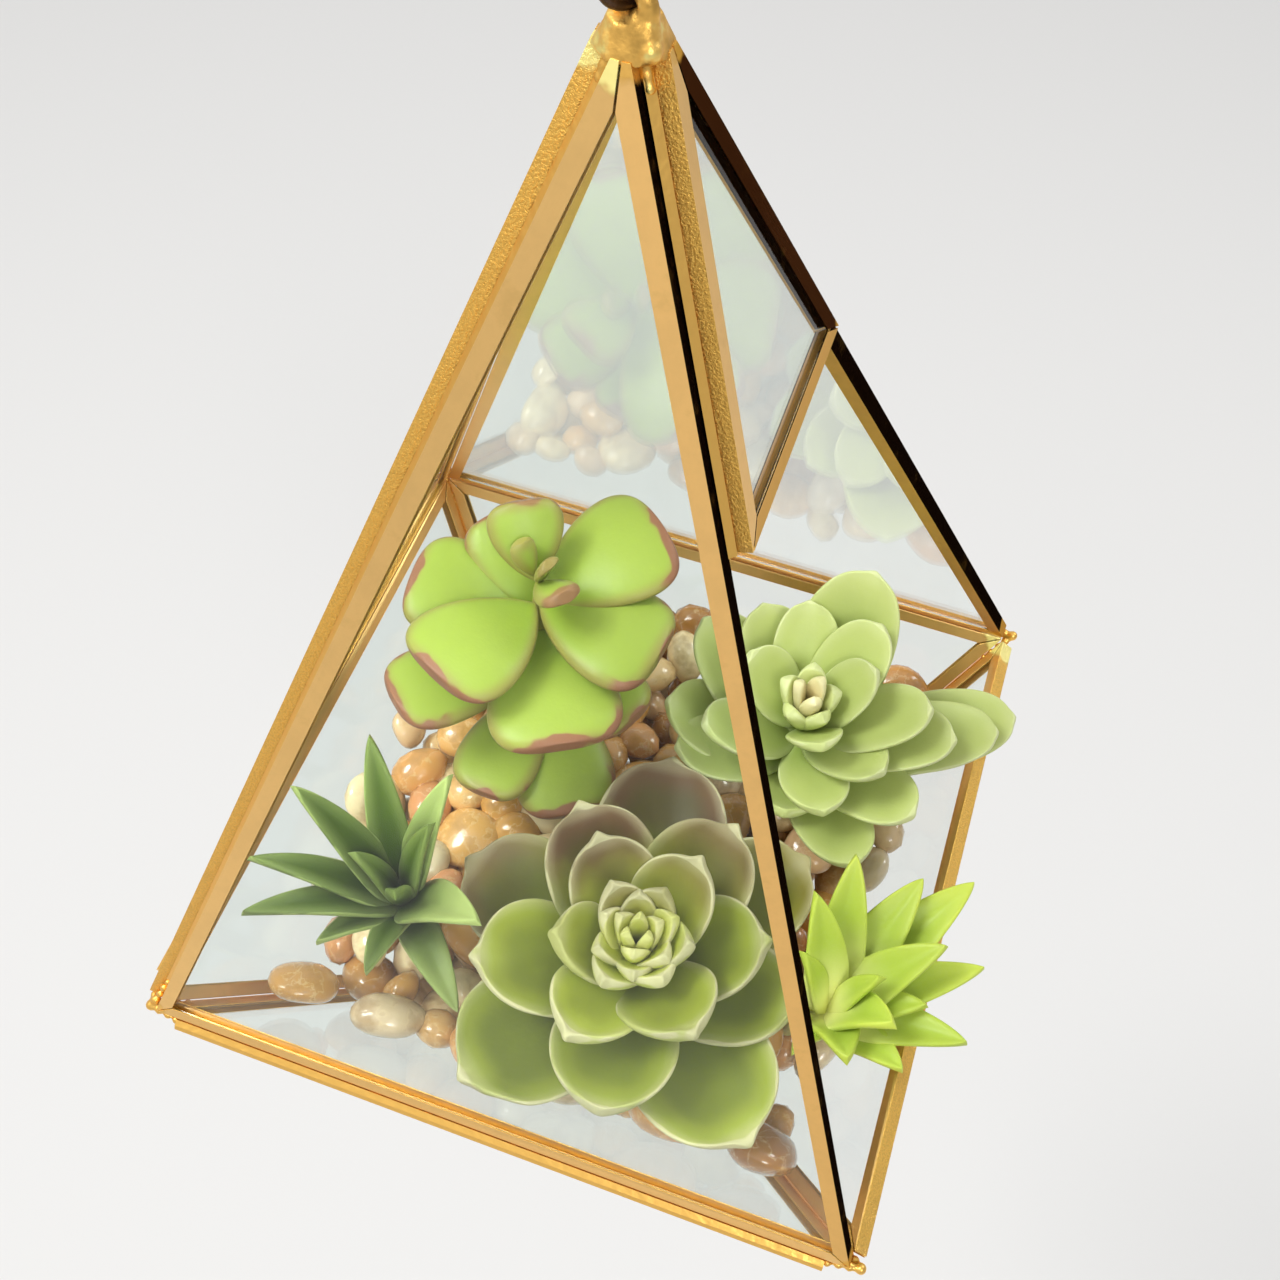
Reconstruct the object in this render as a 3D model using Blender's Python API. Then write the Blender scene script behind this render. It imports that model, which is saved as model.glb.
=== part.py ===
"""Hanging glass terrarium: a tall pyramid over a shorter one turned down, glazed in brass came.

Eight glass panes sit in brass U channel, soldered along their edges and hung by an eyelet and a
loose ring. The right upper side is open below a small top pane. Inside, five succulents stand in
a bed of river pebbles. Lengths are in metres, +Z is up and -Y is the fully glazed front. Heights
in this file are counted from the girdle, and the finished model hangs from the origin.
"""
import random
from math import acos, cos, pi, radians, sin, sqrt

import bmesh
import bpy
from mathutils import Matrix, Vector

MM = 0.001

# Glass body
GIRDLE_SIDE = 0.150
UPPER_HEIGHT = 0.197
LOWER_HEIGHT = 0.111
TOP_PANE_SHARE = 0.328
GLASS_THICKNESS = 0.0018

# Brass came, a U channel round every pane
CAME_THICKNESS = 0.0032
CAME_WIDTH = 0.0027
CAME_WEB = 0.0006
CAME_FLANGE = 0.0004
GAP = 0.0003

# Solder: fillets in the grooves between cames, beads at the corners, and a cap at each end
SEAM_FILL = 0.0010
SEAM_SHOULDER = Vector((0.0004, 0.0009))
SEAM_CREST = 0.0010
SEAM_END_APEX = 0.0136
SEAM_END_TIP = 0.0134
SEAM_END_CORNER = 0.0085
SEAM_END_DOOR = 0.0010
BEAD_RADIUS = 0.0022
BEAD_DEPTH = 0.0026
APEX_CAP_DROP = 0.0112
APEX_CAP_HEIGHT = 0.0028
TIP_CAP_DROP = 0.0090
TIP_CAP_HEIGHT = 0.0066

# Eyelet and ring
EYELET_HOLE_RADIUS = 0.0011
EYELET_WIRE_RADIUS = 0.00115
EYELET_SINK = 0.0003
RING_RADIUS = 0.0050
RING_WIRE_RADIUS = 0.0006
RING_TURN = radians(240)

# Pebble bed
BED_LEVEL = -0.0165
BED_SLOPE = 0.06
BED_SKIN = 0.0055
PEBBLE_CLEARANCE = CAME_THICKNESS + GAP
PEBBLE_PITCH = 0.0195
PEBBLE_SIZE = Vector((0.0106, 0.0094, 0.0058))
PEBBLE_SIZE_RANGE = (0.88, 1.12)
PEBBLE_SCATTER = 0.0010
PEBBLE_TILT = 0.25
PEBBLE_SEED = 7
PEBBLE_EDGE_ROOM = 0.0085
PEBBLE_TOP_ROOM = 0.0038
HEART_DROP = 0.0035
HEART_FOOT_SHARE = 0.06

# Colours, roughness and metallic value of each finish
FINISHES = {
    "brass_came": ((0.62, 0.38, 0.13), 0.34, 1.0),
    "gold_solder": ((0.86, 0.62, 0.20), 0.28, 1.0),
    "clear_glass": ((0.80, 0.84, 0.82), 0.04, 0.0),
    "dark_ring": ((0.16, 0.12, 0.09), 0.38, 1.0),
    "river_pebble": ((0.52, 0.36, 0.20), 0.30, 0.0),
    "paddle_leaf": ((0.36, 0.60, 0.10), 0.38, 0.0),
    "pale_rosette_leaf": ((0.34, 0.52, 0.18), 0.42, 0.0),
    "grey_rosette_leaf": ((0.22, 0.34, 0.10), 0.45, 0.0),
    "dark_spike_leaf": ((0.10, 0.30, 0.05), 0.42, 0.0),
    "lime_spike_leaf": ((0.38, 0.58, 0.06), 0.40, 0.0),
}

# A leaf outline is share ** foot * (1 - share) ** end, where share runs from foot to tip
OUTLINES = {"spoon": (0.60, 0.40), "paddle": (0.75, 0.30), "spike": (0.25, 0.80)}

# Lengths in millimetres. Stem: radius, height of its top, depth in the bed, lean towards +X.
# Whorl: height of its feet, leaf thickness, droop of the middle, and its leaves, each with its
# azimuth in degrees, reach, height of the tip and width.
PLANTS = {
    "front_rosette": {
        "finish": "grey_rosette_leaf", "outline": "spoon", "axis": (16, -34),
        "stem": (3.2, 15, 14, 0), "cup": 0.3, "whorls": [
            (-2, 2.6, 2.5, [(99, 45, 5, 29), (167, 41, 3, 27), (-127, 40, 2, 29), (-39, 40, 2, 29),
                            (3, 33, 5, 23), (50, 41, 5, 26)]),
            (3, 2.5, 2.0, [(70, 32, 15, 24), (131, 32, 15, 24), (21, 26, 15, 22), (-157, 32, 13, 24),
                           (-84, 32, 11, 25)]),
            (8, 2.4, 1.5, [(131, 22, 22, 19), (70, 20, 22, 18), (-163, 17, 20, 16), (-106, 23, 18, 19),
                           (-42, 22, 19, 20)]),
            (11, 2.0, 1.0, [(138, 11, 25, 11), (76, 10, 25, 11), (4, 11, 24, 11), (-106, 12, 22, 11),
                            (-45, 11, 23, 11)]),
            (13, 1.6, 0.5, [(40, 5, 25, 6), (160, 5, 25, 6), (-80, 5, 24, 6)]),
        ]},
    "paddle_plant": {
        "finish": "paddle_leaf", "outline": "paddle", "axis": (-26, 22),
        "stem": (2.6, 46, 14, 0), "cup": 0.16, "whorls": [
            (3, 2.2, -2.0, [(-57, 32, 0, 23), (-95, 31, 5, 19), (95, 24, 18, 19), (160, 26, 20, 19)]),
            (14, 2.2, -3.0, [(-132, 34, 25, 21), (-24, 28, 22, 19), (60, 23, 31, 19)]),
            (26, 2.2, -3.0, [(-60, 33, 33, 24), (134, 23, 39, 16), (-176, 26, 38, 22)]),
            (35, 2.2, -2.0, [(-115, 27, 42, 22), (-8, 27, 39, 22), (48, 26, 46, 22)]),
            (43, 1.8, 0.0, [(122, 11, 55, 14), (-35, 11, 52, 9)]),
            (45, 1.4, 0.0, [(150, 4, 53, 6), (-20, 4, 54, 6)]),
        ]},
    "right_rosette": {
        "finish": "pale_rosette_leaf", "outline": "spoon", "axis": (33, 25),
        "stem": (3.0, 17, 14, 0), "cup": 0.24, "whorls": [
            (-2, 2.4, 1.5, [(25, 48, 8, 20), (-50, 30, 3, 17), (-84, 19, 7, 16), (-176, 30, 10, 19),
                            (80, 32, 31, 23)]),
            (2, 2.3, 1.5, [(17, 42, 13, 18), (-22, 30, 10, 17), (-155, 27, 8, 17), (150, 32, 18, 19)]),
            (7, 2.2, 1.0, [(8, 32, 18, 17), (128, 26, 23, 17), (-62, 21, 13, 15), (-152, 22, 20, 15)]),
            (10, 2.1, 1.0, [(14, 26, 24, 16), (106, 23, 27, 15), (62, 22, 30, 16), (-24, 21, 19, 14)]),
            (13, 2.0, 0.5, [(158, 16, 26, 14), (36, 15, 29, 13), (-60, 12, 25, 12)]),
            (15, 2.6, 0.0, [(20, 4, 27, 6), (120, 4, 29, 6), (-110, 5, 26, 6)]),
        ]},
    "left_spikes": {
        "finish": "dark_spike_leaf", "outline": "spike", "axis": (-36, -34),
        "stem": (2.2, 2, 12, -3), "cup": 0.34, "whorls": [
            (-8, 1.8, -5.0, [(-42, 27, -5, 9), (-87, 19, 2, 7), (-122, 20, 4, 7)]),
            (-5, 1.9, -5.0, [(-17, 23, 19, 9), (-139, 30, 17, 8), (-157, 27, 22, 8)]),
            (-3, 1.9, -5.0, [(72, 19, 25, 8), (122, 23, 28, 9), (171, 21, 30, 9)]),
            (-2, 1.7, -3.0, [(55, 10, 22, 7), (-60, 7, 16, 6), (-170, 8, 18, 6)]),
        ]},
    "right_spikes": {
        "finish": "lime_spike_leaf", "outline": "spike", "axis": (55, -28),
        "stem": (2.2, 1, 7, 8), "cup": 0.34, "whorls": [
            (-9, 1.9, -5.0, [(-29, 19, 5, 8), (-2, 27, 8, 9), (29, 31, 8, 9), (-110, 13, 5, 7)]),
            (-7, 1.9, -5.0, [(55, 36, 14, 10), (10, 18, 10, 7), (-66, 14, 10, 9)]),
            (-5, 1.9, -5.0, [(68, 28, 16, 9), (36, 22, 18, 9), (99, 24, 22, 9), (-24, 13, 17, 10)]),
            (-3, 1.8, -4.0, [(128, 15, 25, 9), (160, 9, 16, 6), (20, 8, 18, 6)]),
        ]},
}
# Also in millimetres
LEAF_FOOT_RADIUS = 0.8
SMALL_LEAF_WIDTH = 13

LEAF_MARGIN_SHARE = 0.45
LEAF_CLEARANCE = 0.0010
STEM_SEGMENTS = 12
SILL_SLOPE = 0.45
SHARP_ANGLE = radians(50)


def clear_scene():
    for item in list(bpy.data.objects):
        bpy.data.objects.remove(item, do_unlink=True)


def new_collection(name):
    collection = bpy.data.collections.new(name)
    bpy.context.scene.collection.children.link(collection)
    return collection


def make_finish(name):
    colour, roughness, metallic = FINISHES[name]
    material = bpy.data.materials.new(name)
    material.use_nodes = True
    shader = material.node_tree.nodes["Principled BSDF"]
    shader.inputs["Base Color"].default_value = (*colour, 1.0)
    shader.inputs["Roughness"].default_value = roughness
    shader.inputs["Metallic"].default_value = metallic
    if name == "clear_glass":
        shader.inputs["Transmission Weight"].default_value = 1.0
    material.diffuse_color = (*colour, 1.0)
    return material


def new_object(name, mesh_builder, finish, collection):
    """Turn a bmesh into a named object with its finish."""
    mesh = bpy.data.meshes.new(name)
    mesh_builder.to_mesh(mesh)
    mesh_builder.free()
    item = bpy.data.objects.new(name, mesh)
    if finish:
        item.data.materials.append(bpy.data.materials[finish])
    collection.objects.link(item)
    return item


def prism(corners, sweep):
    """A flat outline swept into a solid."""
    builder = bmesh.new()
    face = builder.faces.new([builder.verts.new(corner) for corner in corners])
    swept = bmesh.ops.extrude_face_region(builder, geom=[face])
    moved = [item for item in swept["geom"] if isinstance(item, bmesh.types.BMVert)]
    bmesh.ops.translate(builder, verts=moved, vec=sweep)
    bmesh.ops.recalc_face_normals(builder, faces=builder.faces)
    return builder


def fuse(base, others, operation="UNION", solver="EXACT"):
    """Join the other objects to the base, or cut them from it, and remove them."""
    helpers = new_collection("cutters")
    for item in others:
        for holder in list(item.users_collection):
            holder.objects.unlink(item)
        helpers.objects.link(item)
        item.hide_render = True
        item.display_type = "WIRE"
    modifier = base.modifiers.new("fuse", "BOOLEAN")
    modifier.operation = operation
    modifier.operand_type = "COLLECTION"
    modifier.collection = helpers
    modifier.solver = solver
    bpy.context.view_layer.update()
    evaluated = base.evaluated_get(bpy.context.evaluated_depsgraph_get())
    fused = bpy.data.meshes.new_from_object(evaluated)
    base.modifiers.clear()
    fused.name = base.name
    base.data = fused
    for item in others:
        bpy.data.objects.remove(item, do_unlink=True)
    bpy.data.collections.remove(helpers)
    return base


def shade_round(item):
    item.data.shade_smooth()
    item.data.set_sharp_from_angle(angle=SHARP_ANGLE)


def keep_largest_shell(item):
    """Fill hollows that fusing sealed and drop loose scraps."""
    builder = bmesh.new()
    builder.from_mesh(item.data)
    shells = []
    found = set()
    for seed in builder.faces:
        if seed in found:
            continue
        found.add(seed)
        shell = [seed]
        for face in shell:
            for neighbour in [link for edge in face.edges for link in edge.link_faces]:
                if neighbour not in found:
                    found.add(neighbour)
                    shell.append(neighbour)
        shells.append(shell)
    shells.sort(key=len)
    for shell in shells[:-1]:
        bmesh.ops.delete(builder, geom=shell, context="FACES")
    builder.to_mesh(item.data)
    builder.free()


# Geometry of the glass body

def corner_points():
    half = GIRDLE_SIDE / 2
    points = {
        "apex": Vector((0, 0, UPPER_HEIGHT)),
        "tip": Vector((0, 0, -LOWER_HEIGHT)),
        "front_left": Vector((-half, -half, 0)),
        "front_right": Vector((half, -half, 0)),
        "back_right": Vector((half, half, 0)),
        "back_left": Vector((-half, half, 0)),
    }
    points["door_front"] = points["apex"].lerp(points["front_right"], TOP_PANE_SHARE)
    points["door_back"] = points["apex"].lerp(points["back_right"], TOP_PANE_SHARE)
    return points


POINTS = corner_points()

# Corners of each pane, counter-clockwise as seen from outside
PANES = {
    "upper_front": ("apex", "front_left", "front_right"),
    "upper_left": ("apex", "back_left", "front_left"),
    "upper_back": ("apex", "back_right", "back_left"),
    "upper_right": ("apex", "door_front", "door_back"),
    "lower_front": ("tip", "front_right", "front_left"),
    "lower_left": ("tip", "front_left", "back_left"),
    "lower_back": ("tip", "back_left", "back_right"),
    "lower_right": ("tip", "back_right", "front_right"),
}

# Soldered seams: the two panes, then the two ends
SEAMS = {
    "rib_front_left": ("upper_front", "upper_left", "apex", "front_left"),
    "rib_back_left": ("upper_left", "upper_back", "apex", "back_left"),
    "rib_front_right": ("upper_front", "upper_right", "apex", "door_front"),
    "rib_back_right": ("upper_back", "upper_right", "apex", "door_back"),
    "girdle_front": ("upper_front", "lower_front", "front_left", "front_right"),
    "girdle_left": ("upper_left", "lower_left", "back_left", "front_left"),
    "girdle_back": ("upper_back", "lower_back", "back_right", "back_left"),
    "keel_front_left": ("lower_front", "lower_left", "tip", "front_left"),
    "keel_front_right": ("lower_front", "lower_right", "tip", "front_right"),
    "keel_back_right": ("lower_right", "lower_back", "tip", "back_right"),
    "keel_back_left": ("lower_back", "lower_left", "tip", "back_left"),
}
SEAM_ENDS = {"apex": SEAM_END_APEX, "tip": SEAM_END_TIP, "door_front": SEAM_END_DOOR,
             "door_back": SEAM_END_DOOR}


def pane_normal(pane):
    first, second, third = (POINTS[name] for name in PANES[pane])
    return (second - first).cross(third - first).normalized()


def half_dihedral(pane, other):
    """Half of the inside angle between two panes."""
    return (pi - acos(pane_normal(pane).dot(pane_normal(other)))) / 2


RIB_HALF = half_dihedral("upper_front", "upper_left")
GIRDLE_HALF = half_dihedral("upper_front", "lower_front")
KEEL_HALF = half_dihedral("lower_front", "lower_left")


def setback(half_angle):
    """How far a came's back stays from the edge of the pyramid, so its inner corner clears the next."""
    return (CAME_THICKNESS * cos(half_angle) + GAP / 2) / sin(half_angle)


def side_setback(start, end):
    if "door_front" in (start, end) and "door_back" in (start, end):
        return 0.0
    if "apex" in (start, end):
        return setback(RIB_HALF)
    if "tip" in (start, end):
        return setback(KEEL_HALF)
    return setback(GIRDLE_HALF)


def pane_sides(pane):
    """Each side's two corners, direction, inward direction and setback."""
    names = PANES[pane]
    normal = pane_normal(pane)
    sides = []
    for index, start in enumerate(names):
        end = names[(index + 1) % 3]
        along = (POINTS[end] - POINTS[start]).normalized()
        sides.append((start, end, along, normal.cross(along), side_setback(start, end)))
    return sides


def inset_corner(corner, arriving, leaving, arriving_inset, leaving_inset, normal):
    """Where the two sides at a corner meet after each moves in by its inset."""
    sine = normal.dot(arriving.cross(leaving))
    return corner + (leaving * arriving_inset - arriving * leaving_inset) / sine


def pane_outline(pane, extra):
    """The pane's three corners, with every side moved in by its setback and the extra."""
    normal = pane_normal(pane)
    sides = pane_sides(pane)
    corners = []
    for index, (start, _, leaving, _, inset) in enumerate(sides):
        _, _, arriving, _, arriving_inset = sides[index - 1]
        corners.append(inset_corner(POINTS[start], arriving, leaving,
                                    arriving_inset + extra, inset + extra, normal))
    return corners


# Pieces of the glass body

def trim(builder, point, outward):
    """Cut off what lies beyond a plane and close the cut."""
    everything = builder.verts[:] + builder.edges[:] + builder.faces[:]
    cut = bmesh.ops.bisect_plane(builder, geom=everything, plane_co=point, plane_no=outward,
                                 clear_outer=True)
    rim = [item for item in cut["geom_cut"] if isinstance(item, bmesh.types.BMEdge)]
    bmesh.ops.edgeloop_fill(builder, edges=rim)


def trim_for_cap(builder, names):
    """Shorten what runs to the apex or the tip, to leave room for the solder cap."""
    if "apex" in names:
        trim(builder, POINTS["apex"] - Vector((0, 0, APEX_CAP_DROP + GAP)), Vector((0, 0, 1)))
    if "tip" in names:
        trim(builder, POINTS["tip"] + Vector((0, 0, TIP_CAP_DROP + GAP)), Vector((0, 0, -1)))


def make_glass(pane, collection):
    """A flat plate whose edges sit in the channels."""
    normal = pane_normal(pane)
    depth = (CAME_THICKNESS - GLASS_THICKNESS) / 2
    corners = [point - normal * depth for point in pane_outline(pane, CAME_WEB + GAP)]
    builder = prism(corners, -normal * GLASS_THICKNESS)
    trim_for_cap(builder, PANES[pane])
    bmesh.ops.recalc_face_normals(builder, faces=builder.faces)
    return new_object("glass_" + pane, builder, "clear_glass", collection)


def make_came(pane, index, collection):
    """One side's length of U channel, open towards the glass and mitred at both ends."""
    sides = pane_sides(pane)
    normal = pane_normal(pane)
    start, end, along, inward, inset = sides[index]
    length = (POINTS[end] - POINTS[start]).length
    builder = bmesh.new()
    bmesh.ops.create_cube(builder, size=1.0)
    bmesh.ops.scale(builder, verts=builder.verts, vec=(length, CAME_WIDTH, CAME_THICKNESS))
    mouth = [face for face in builder.faces if face.normal.y > 0.9]
    bmesh.ops.inset_region(builder, faces=mouth, thickness=CAME_FLANGE)
    slot = bmesh.ops.extrude_face_region(builder, geom=mouth)
    floor = [item for item in slot["geom"] if isinstance(item, bmesh.types.BMVert)]
    bmesh.ops.translate(builder, verts=floor, vec=(0, CAME_WEB - CAME_WIDTH, 0))
    bmesh.ops.delete(builder, geom=mouth, context="FACES")
    centre = (POINTS[start] + POINTS[end]) / 2
    centre += inward * (inset + CAME_WIDTH / 2) - normal * (CAME_THICKNESS / 2)
    turn = Matrix((along, inward, normal)).transposed().to_4x4()
    bmesh.ops.transform(builder, verts=builder.verts, matrix=Matrix.Translation(centre) @ turn)
    outer = pane_outline(pane, 0.0)
    inner = pane_outline(pane, CAME_WIDTH)
    for corner, outward in ((index, -along), ((index + 1) % 3, along)):
        mitre = (inner[corner] - outer[corner]).normalized()
        square = mitre.cross(normal)
        square = square if square.dot(outward) > 0 else -square
        trim(builder, outer[corner] - square * (GAP / 2), square)
    trim_for_cap(builder, (start, end))
    bmesh.ops.recalc_face_normals(builder, faces=builder.faces)
    name = "_".join(("came", pane, start, end))
    return new_object(name, builder, "brass_came", collection)


def groove_point(half, rise):
    """A point beside the groove's wall at a rise from its root, as (outward, across) from the edge."""
    inset = setback(half)
    wall = Vector((sin(half), cos(half)))
    clear = Vector((cos(half), -sin(half)))
    root = Vector((-inset * cos(half), inset * sin(half))) - wall * CAME_THICKNESS
    return root + wall * rise + clear * GAP


def seam_profile(name, half):
    """Ribs and keels have a low fillet, and the girdle's solder fills its groove and crowns it."""
    root_rise = (GAP * sin(half) - GAP / 2) / cos(half)
    root = Vector((groove_point(half, root_rise).x, 0))
    if not name.startswith("girdle"):
        lip = groove_point(half, root_rise + SEAM_FILL)
        return [root, lip, Vector((lip.x, -lip.y))]
    side = [groove_point(half, CAME_THICKNESS), SEAM_SHOULDER]
    mirrored = [Vector((point.x, -point.y)) for point in reversed(side)]
    return [root] + side + [Vector((SEAM_CREST, 0))] + mirrored


def make_seam(name, collection):
    """Solder in the groove between two came backs."""
    pane, other, start, end = SEAMS[name]
    half = half_dihedral(pane, other)
    along = (POINTS[end] - POINTS[start]).normalized()
    outward = (pane_normal(pane) + pane_normal(other)).normalized()
    across = along.cross(outward)
    first, last = (SEAM_ENDS.get(corner, SEAM_END_CORNER) for corner in (start, end))
    run = (POINTS[end] - POINTS[start]).length - first - last
    foot = POINTS[start] + along * first
    corners = [foot + outward * point.x + across * point.y for point in seam_profile(name, half)]
    return new_object("seam_" + name, prism(corners, along * run), "gold_solder", collection)


def make_bead(corner, collection):
    """A solder bead in the pocket where the came corners meet."""
    builder = bmesh.new()
    bmesh.ops.create_icosphere(builder, subdivisions=1, radius=BEAD_RADIUS)
    point = POINTS[corner]
    bmesh.ops.translate(builder, verts=builder.verts, vec=point - point.normalized() * BEAD_DEPTH)
    return new_object("solder_bead_" + corner, builder, "gold_solder", collection)


# Eyelet and ring

def ring_tangent():
    return Vector((cos(RING_TURN), sin(RING_TURN), 0))


def eyelet_height():
    return UPPER_HEIGHT - APEX_CAP_DROP + APEX_CAP_HEIGHT + EYELET_HOLE_RADIUS - EYELET_SINK


def swing_height():
    """Height of the ring wire's centre where it bears under the eyelet's bar."""
    return eyelet_height() + EYELET_HOLE_RADIUS - RING_WIRE_RADIUS - GAP


def hang_height():
    """Height of the ring's upper inner side, where a hook bears."""
    return swing_height() + 2 * RING_RADIUS - RING_WIRE_RADIUS


def make_cap(name, point, inward, drop, height, sides, collection):
    """A blunt solder cap that closes one end of the body, with its flats along the panes."""
    slope = GIRDLE_SIDE / 2 / point.length / cos(pi / sides)
    builder = bmesh.new()
    bmesh.ops.create_cone(builder, cap_ends=True, segments=sides, radius1=drop * slope,
                          radius2=(drop - height) * slope, depth=height)
    flip = Matrix.Rotation(pi if inward.z > 0 else 0, 4, "X")
    place = Matrix.Translation(point + inward * (drop - height / 2))
    turn = Matrix.Rotation(pi / sides, 4, "Z")
    bmesh.ops.transform(builder, verts=builder.verts, matrix=place @ flip @ turn)
    return new_object(name, builder, "gold_solder", collection)


def add_torus(name, major, minor, segments, sides, centre, axis, finish, collection):
    bpy.ops.mesh.primitive_torus_add(major_radius=major, minor_radius=minor,
                                     major_segments=segments, minor_segments=sides)
    item = bpy.context.object
    item.name = name
    item.data.name = name
    turn = Vector((0, 0, 1)).rotation_difference(axis).to_matrix().to_4x4()
    item.data.transform(Matrix.Translation(centre) @ turn)
    for holder in list(item.users_collection):
        holder.objects.unlink(item)
    collection.objects.link(item)
    item.data.materials.append(bpy.data.materials[finish])
    return item


def make_eyelet(collection):
    """A thick wire loop soldered to the cap that closes the apex."""
    loop = add_torus("eyelet", EYELET_HOLE_RADIUS + EYELET_WIRE_RADIUS, EYELET_WIRE_RADIUS, 20, 8,
                     Vector((0, 0, eyelet_height())), ring_tangent(), "gold_solder", collection)
    cap = make_cap("cap", POINTS["apex"], Vector((0, 0, -1)), APEX_CAP_DROP, APEX_CAP_HEIGHT, 8,
                   collection)
    shade_round(fuse(loop, [cap]))


def make_ring(collection):
    """The loose hanging ring, upright in the eyelet."""
    centre = Vector((0, 0, swing_height() + RING_RADIUS))
    facing = ring_tangent().cross(Vector((0, 0, 1)))
    shade_round(add_torus("hanging_ring", RING_RADIUS, RING_WIRE_RADIUS, 24, 6, centre, facing,
                          "dark_ring", collection))


# Pebble bed

def lower_normals():
    return [pane_normal(pane) for pane in PANES if pane.startswith("lower")]


def bed_height(y):
    return BED_LEVEL + BED_SLOPE * y


def push_inside(centre, axes, reach):
    """Move a pebble in until it clears all four lower panes."""
    for normal in lower_normals():
        size = sqrt(sum((length * normal.dot(axis)) ** 2 for length, axis in zip(reach, axes)))
        depth = normal.dot(POINTS["tip"]) - normal.dot(centre)
        centre = centre - normal * max(0.0, size + PEBBLE_CLEARANCE - depth)
    return centre


def add_pebble(builder, centre, axes, reach):
    centre = push_inside(centre, axes, reach)
    pebble = bmesh.ops.create_uvsphere(builder, u_segments=6, v_segments=3, radius=1.0)
    turn = Matrix(axes).transposed().to_4x4()
    place = Matrix.Translation(centre) @ turn @ Matrix.Diagonal((*reach, 1.0))
    bmesh.ops.transform(builder, verts=pebble["verts"], matrix=place)


def lay_pebble(collection, draw, centre, facing):
    """One flattened pebble, lying on the face that it covers, turned and sized at random."""
    side = facing.orthogonal().normalized()
    side.rotate(Matrix.Rotation(draw.uniform(0, pi), 3, facing))
    axes = (side, facing.cross(side), facing)
    reach = [length * draw.uniform(*PEBBLE_SIZE_RANGE) for length in PEBBLE_SIZE]
    builder = bmesh.new()
    add_pebble(builder, centre, axes, reach)
    return new_object("pebble", builder, None, collection)


def side_pebbles(collection, draw):
    """Rows of pebbles against each lower pane, from the bed's top to the tip."""
    pebbles = []
    slant = sqrt(LOWER_HEIGHT ** 2 + (GIRDLE_SIDE / 2) ** 2)
    row_pitch = PEBBLE_PITCH * sin(pi / 3)
    for pane in [name for name in PANES if name.startswith("lower")]:
        _, right, left = (POINTS[name] for name in PANES[pane])
        along = (right - left).normalized()
        down = (POINTS["tip"] - (left + right) / 2).normalized()
        normal = pane_normal(pane)
        distance = -BED_LEVEL * slant / LOWER_HEIGHT + PEBBLE_TOP_ROOM
        while distance < slant - PEBBLE_PITCH:
            half = GIRDLE_SIDE / 2 * (1 - distance / slant) - PEBBLE_EDGE_ROOM
            count = max(1, round(2 * half / PEBBLE_PITCH) + 1)
            for index in range(count):
                share = index / (count - 1) if count > 1 else 0.5
                centre = (left + right) / 2 + down * distance + along * half * (2 * share - 1)
                centre -= normal * (PEBBLE_SIZE.z + PEBBLE_CLEARANCE)
                pebbles.append(lay_pebble(collection, draw, centre, normal))
            distance += row_pitch
    return pebbles


def top_pebbles(collection, draw):
    """A loose layer of pebbles over the top of the bed."""
    pebbles = []
    half = GIRDLE_SIDE / 2 * (1 + BED_LEVEL / LOWER_HEIGHT) - PEBBLE_SIZE.x
    count = round(2 * half / PEBBLE_PITCH) + 1
    step = 2 * half / (count - 1)
    for row in range(count):
        for column in range(count - row % 2):
            x = -half + (column + row % 2 / 2) * step + draw.uniform(-1, 1) * PEBBLE_SCATTER
            y = -half + row * step + draw.uniform(-1, 1) * PEBBLE_SCATTER
            tilt = [draw.uniform(-PEBBLE_TILT, PEBBLE_TILT) for _ in "xy"]
            facing = Vector((*tilt, 1)).normalized()
            centre = Vector((x, y, bed_height(y)))
            pebbles.append(lay_pebble(collection, draw, centre, facing))
    return pebbles


def make_bed(collection):
    """A solid heart of packed stone, covered by pebbles, with a hole for each stem."""
    draw = random.Random(PEBBLE_SEED)
    inset = (PEBBLE_CLEARANCE + BED_SKIN) / abs(lower_normals()[0].z)
    heart_top = BED_LEVEL - HEART_DROP
    depth = heart_top + LOWER_HEIGHT - inset
    top_half = GIRDLE_SIDE / 2 * depth / LOWER_HEIGHT
    builder = bmesh.new()
    bmesh.ops.create_cone(builder, cap_ends=True, segments=4,
                          radius1=HEART_FOOT_SHARE * top_half, radius2=top_half * sqrt(2), depth=depth)
    place = Matrix.Translation((0, 0, heart_top - depth / 2)) @ Matrix.Rotation(pi / 4, 4, "Z")
    bmesh.ops.transform(builder, verts=builder.verts, matrix=place)
    bed = new_object("pebble_bed", builder, "river_pebble", collection)
    fuse(bed, side_pebbles(collection, draw) + top_pebbles(collection, draw), solver="MANIFOLD")
    holes = [stem_cylinder(plant, GAP, collection) for plant in PLANTS]
    fuse(bed, holes, operation="DIFFERENCE", solver="MANIFOLD")
    keep_largest_shell(bed)
    shade_round(bed)
    return bed


# Plants

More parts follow.
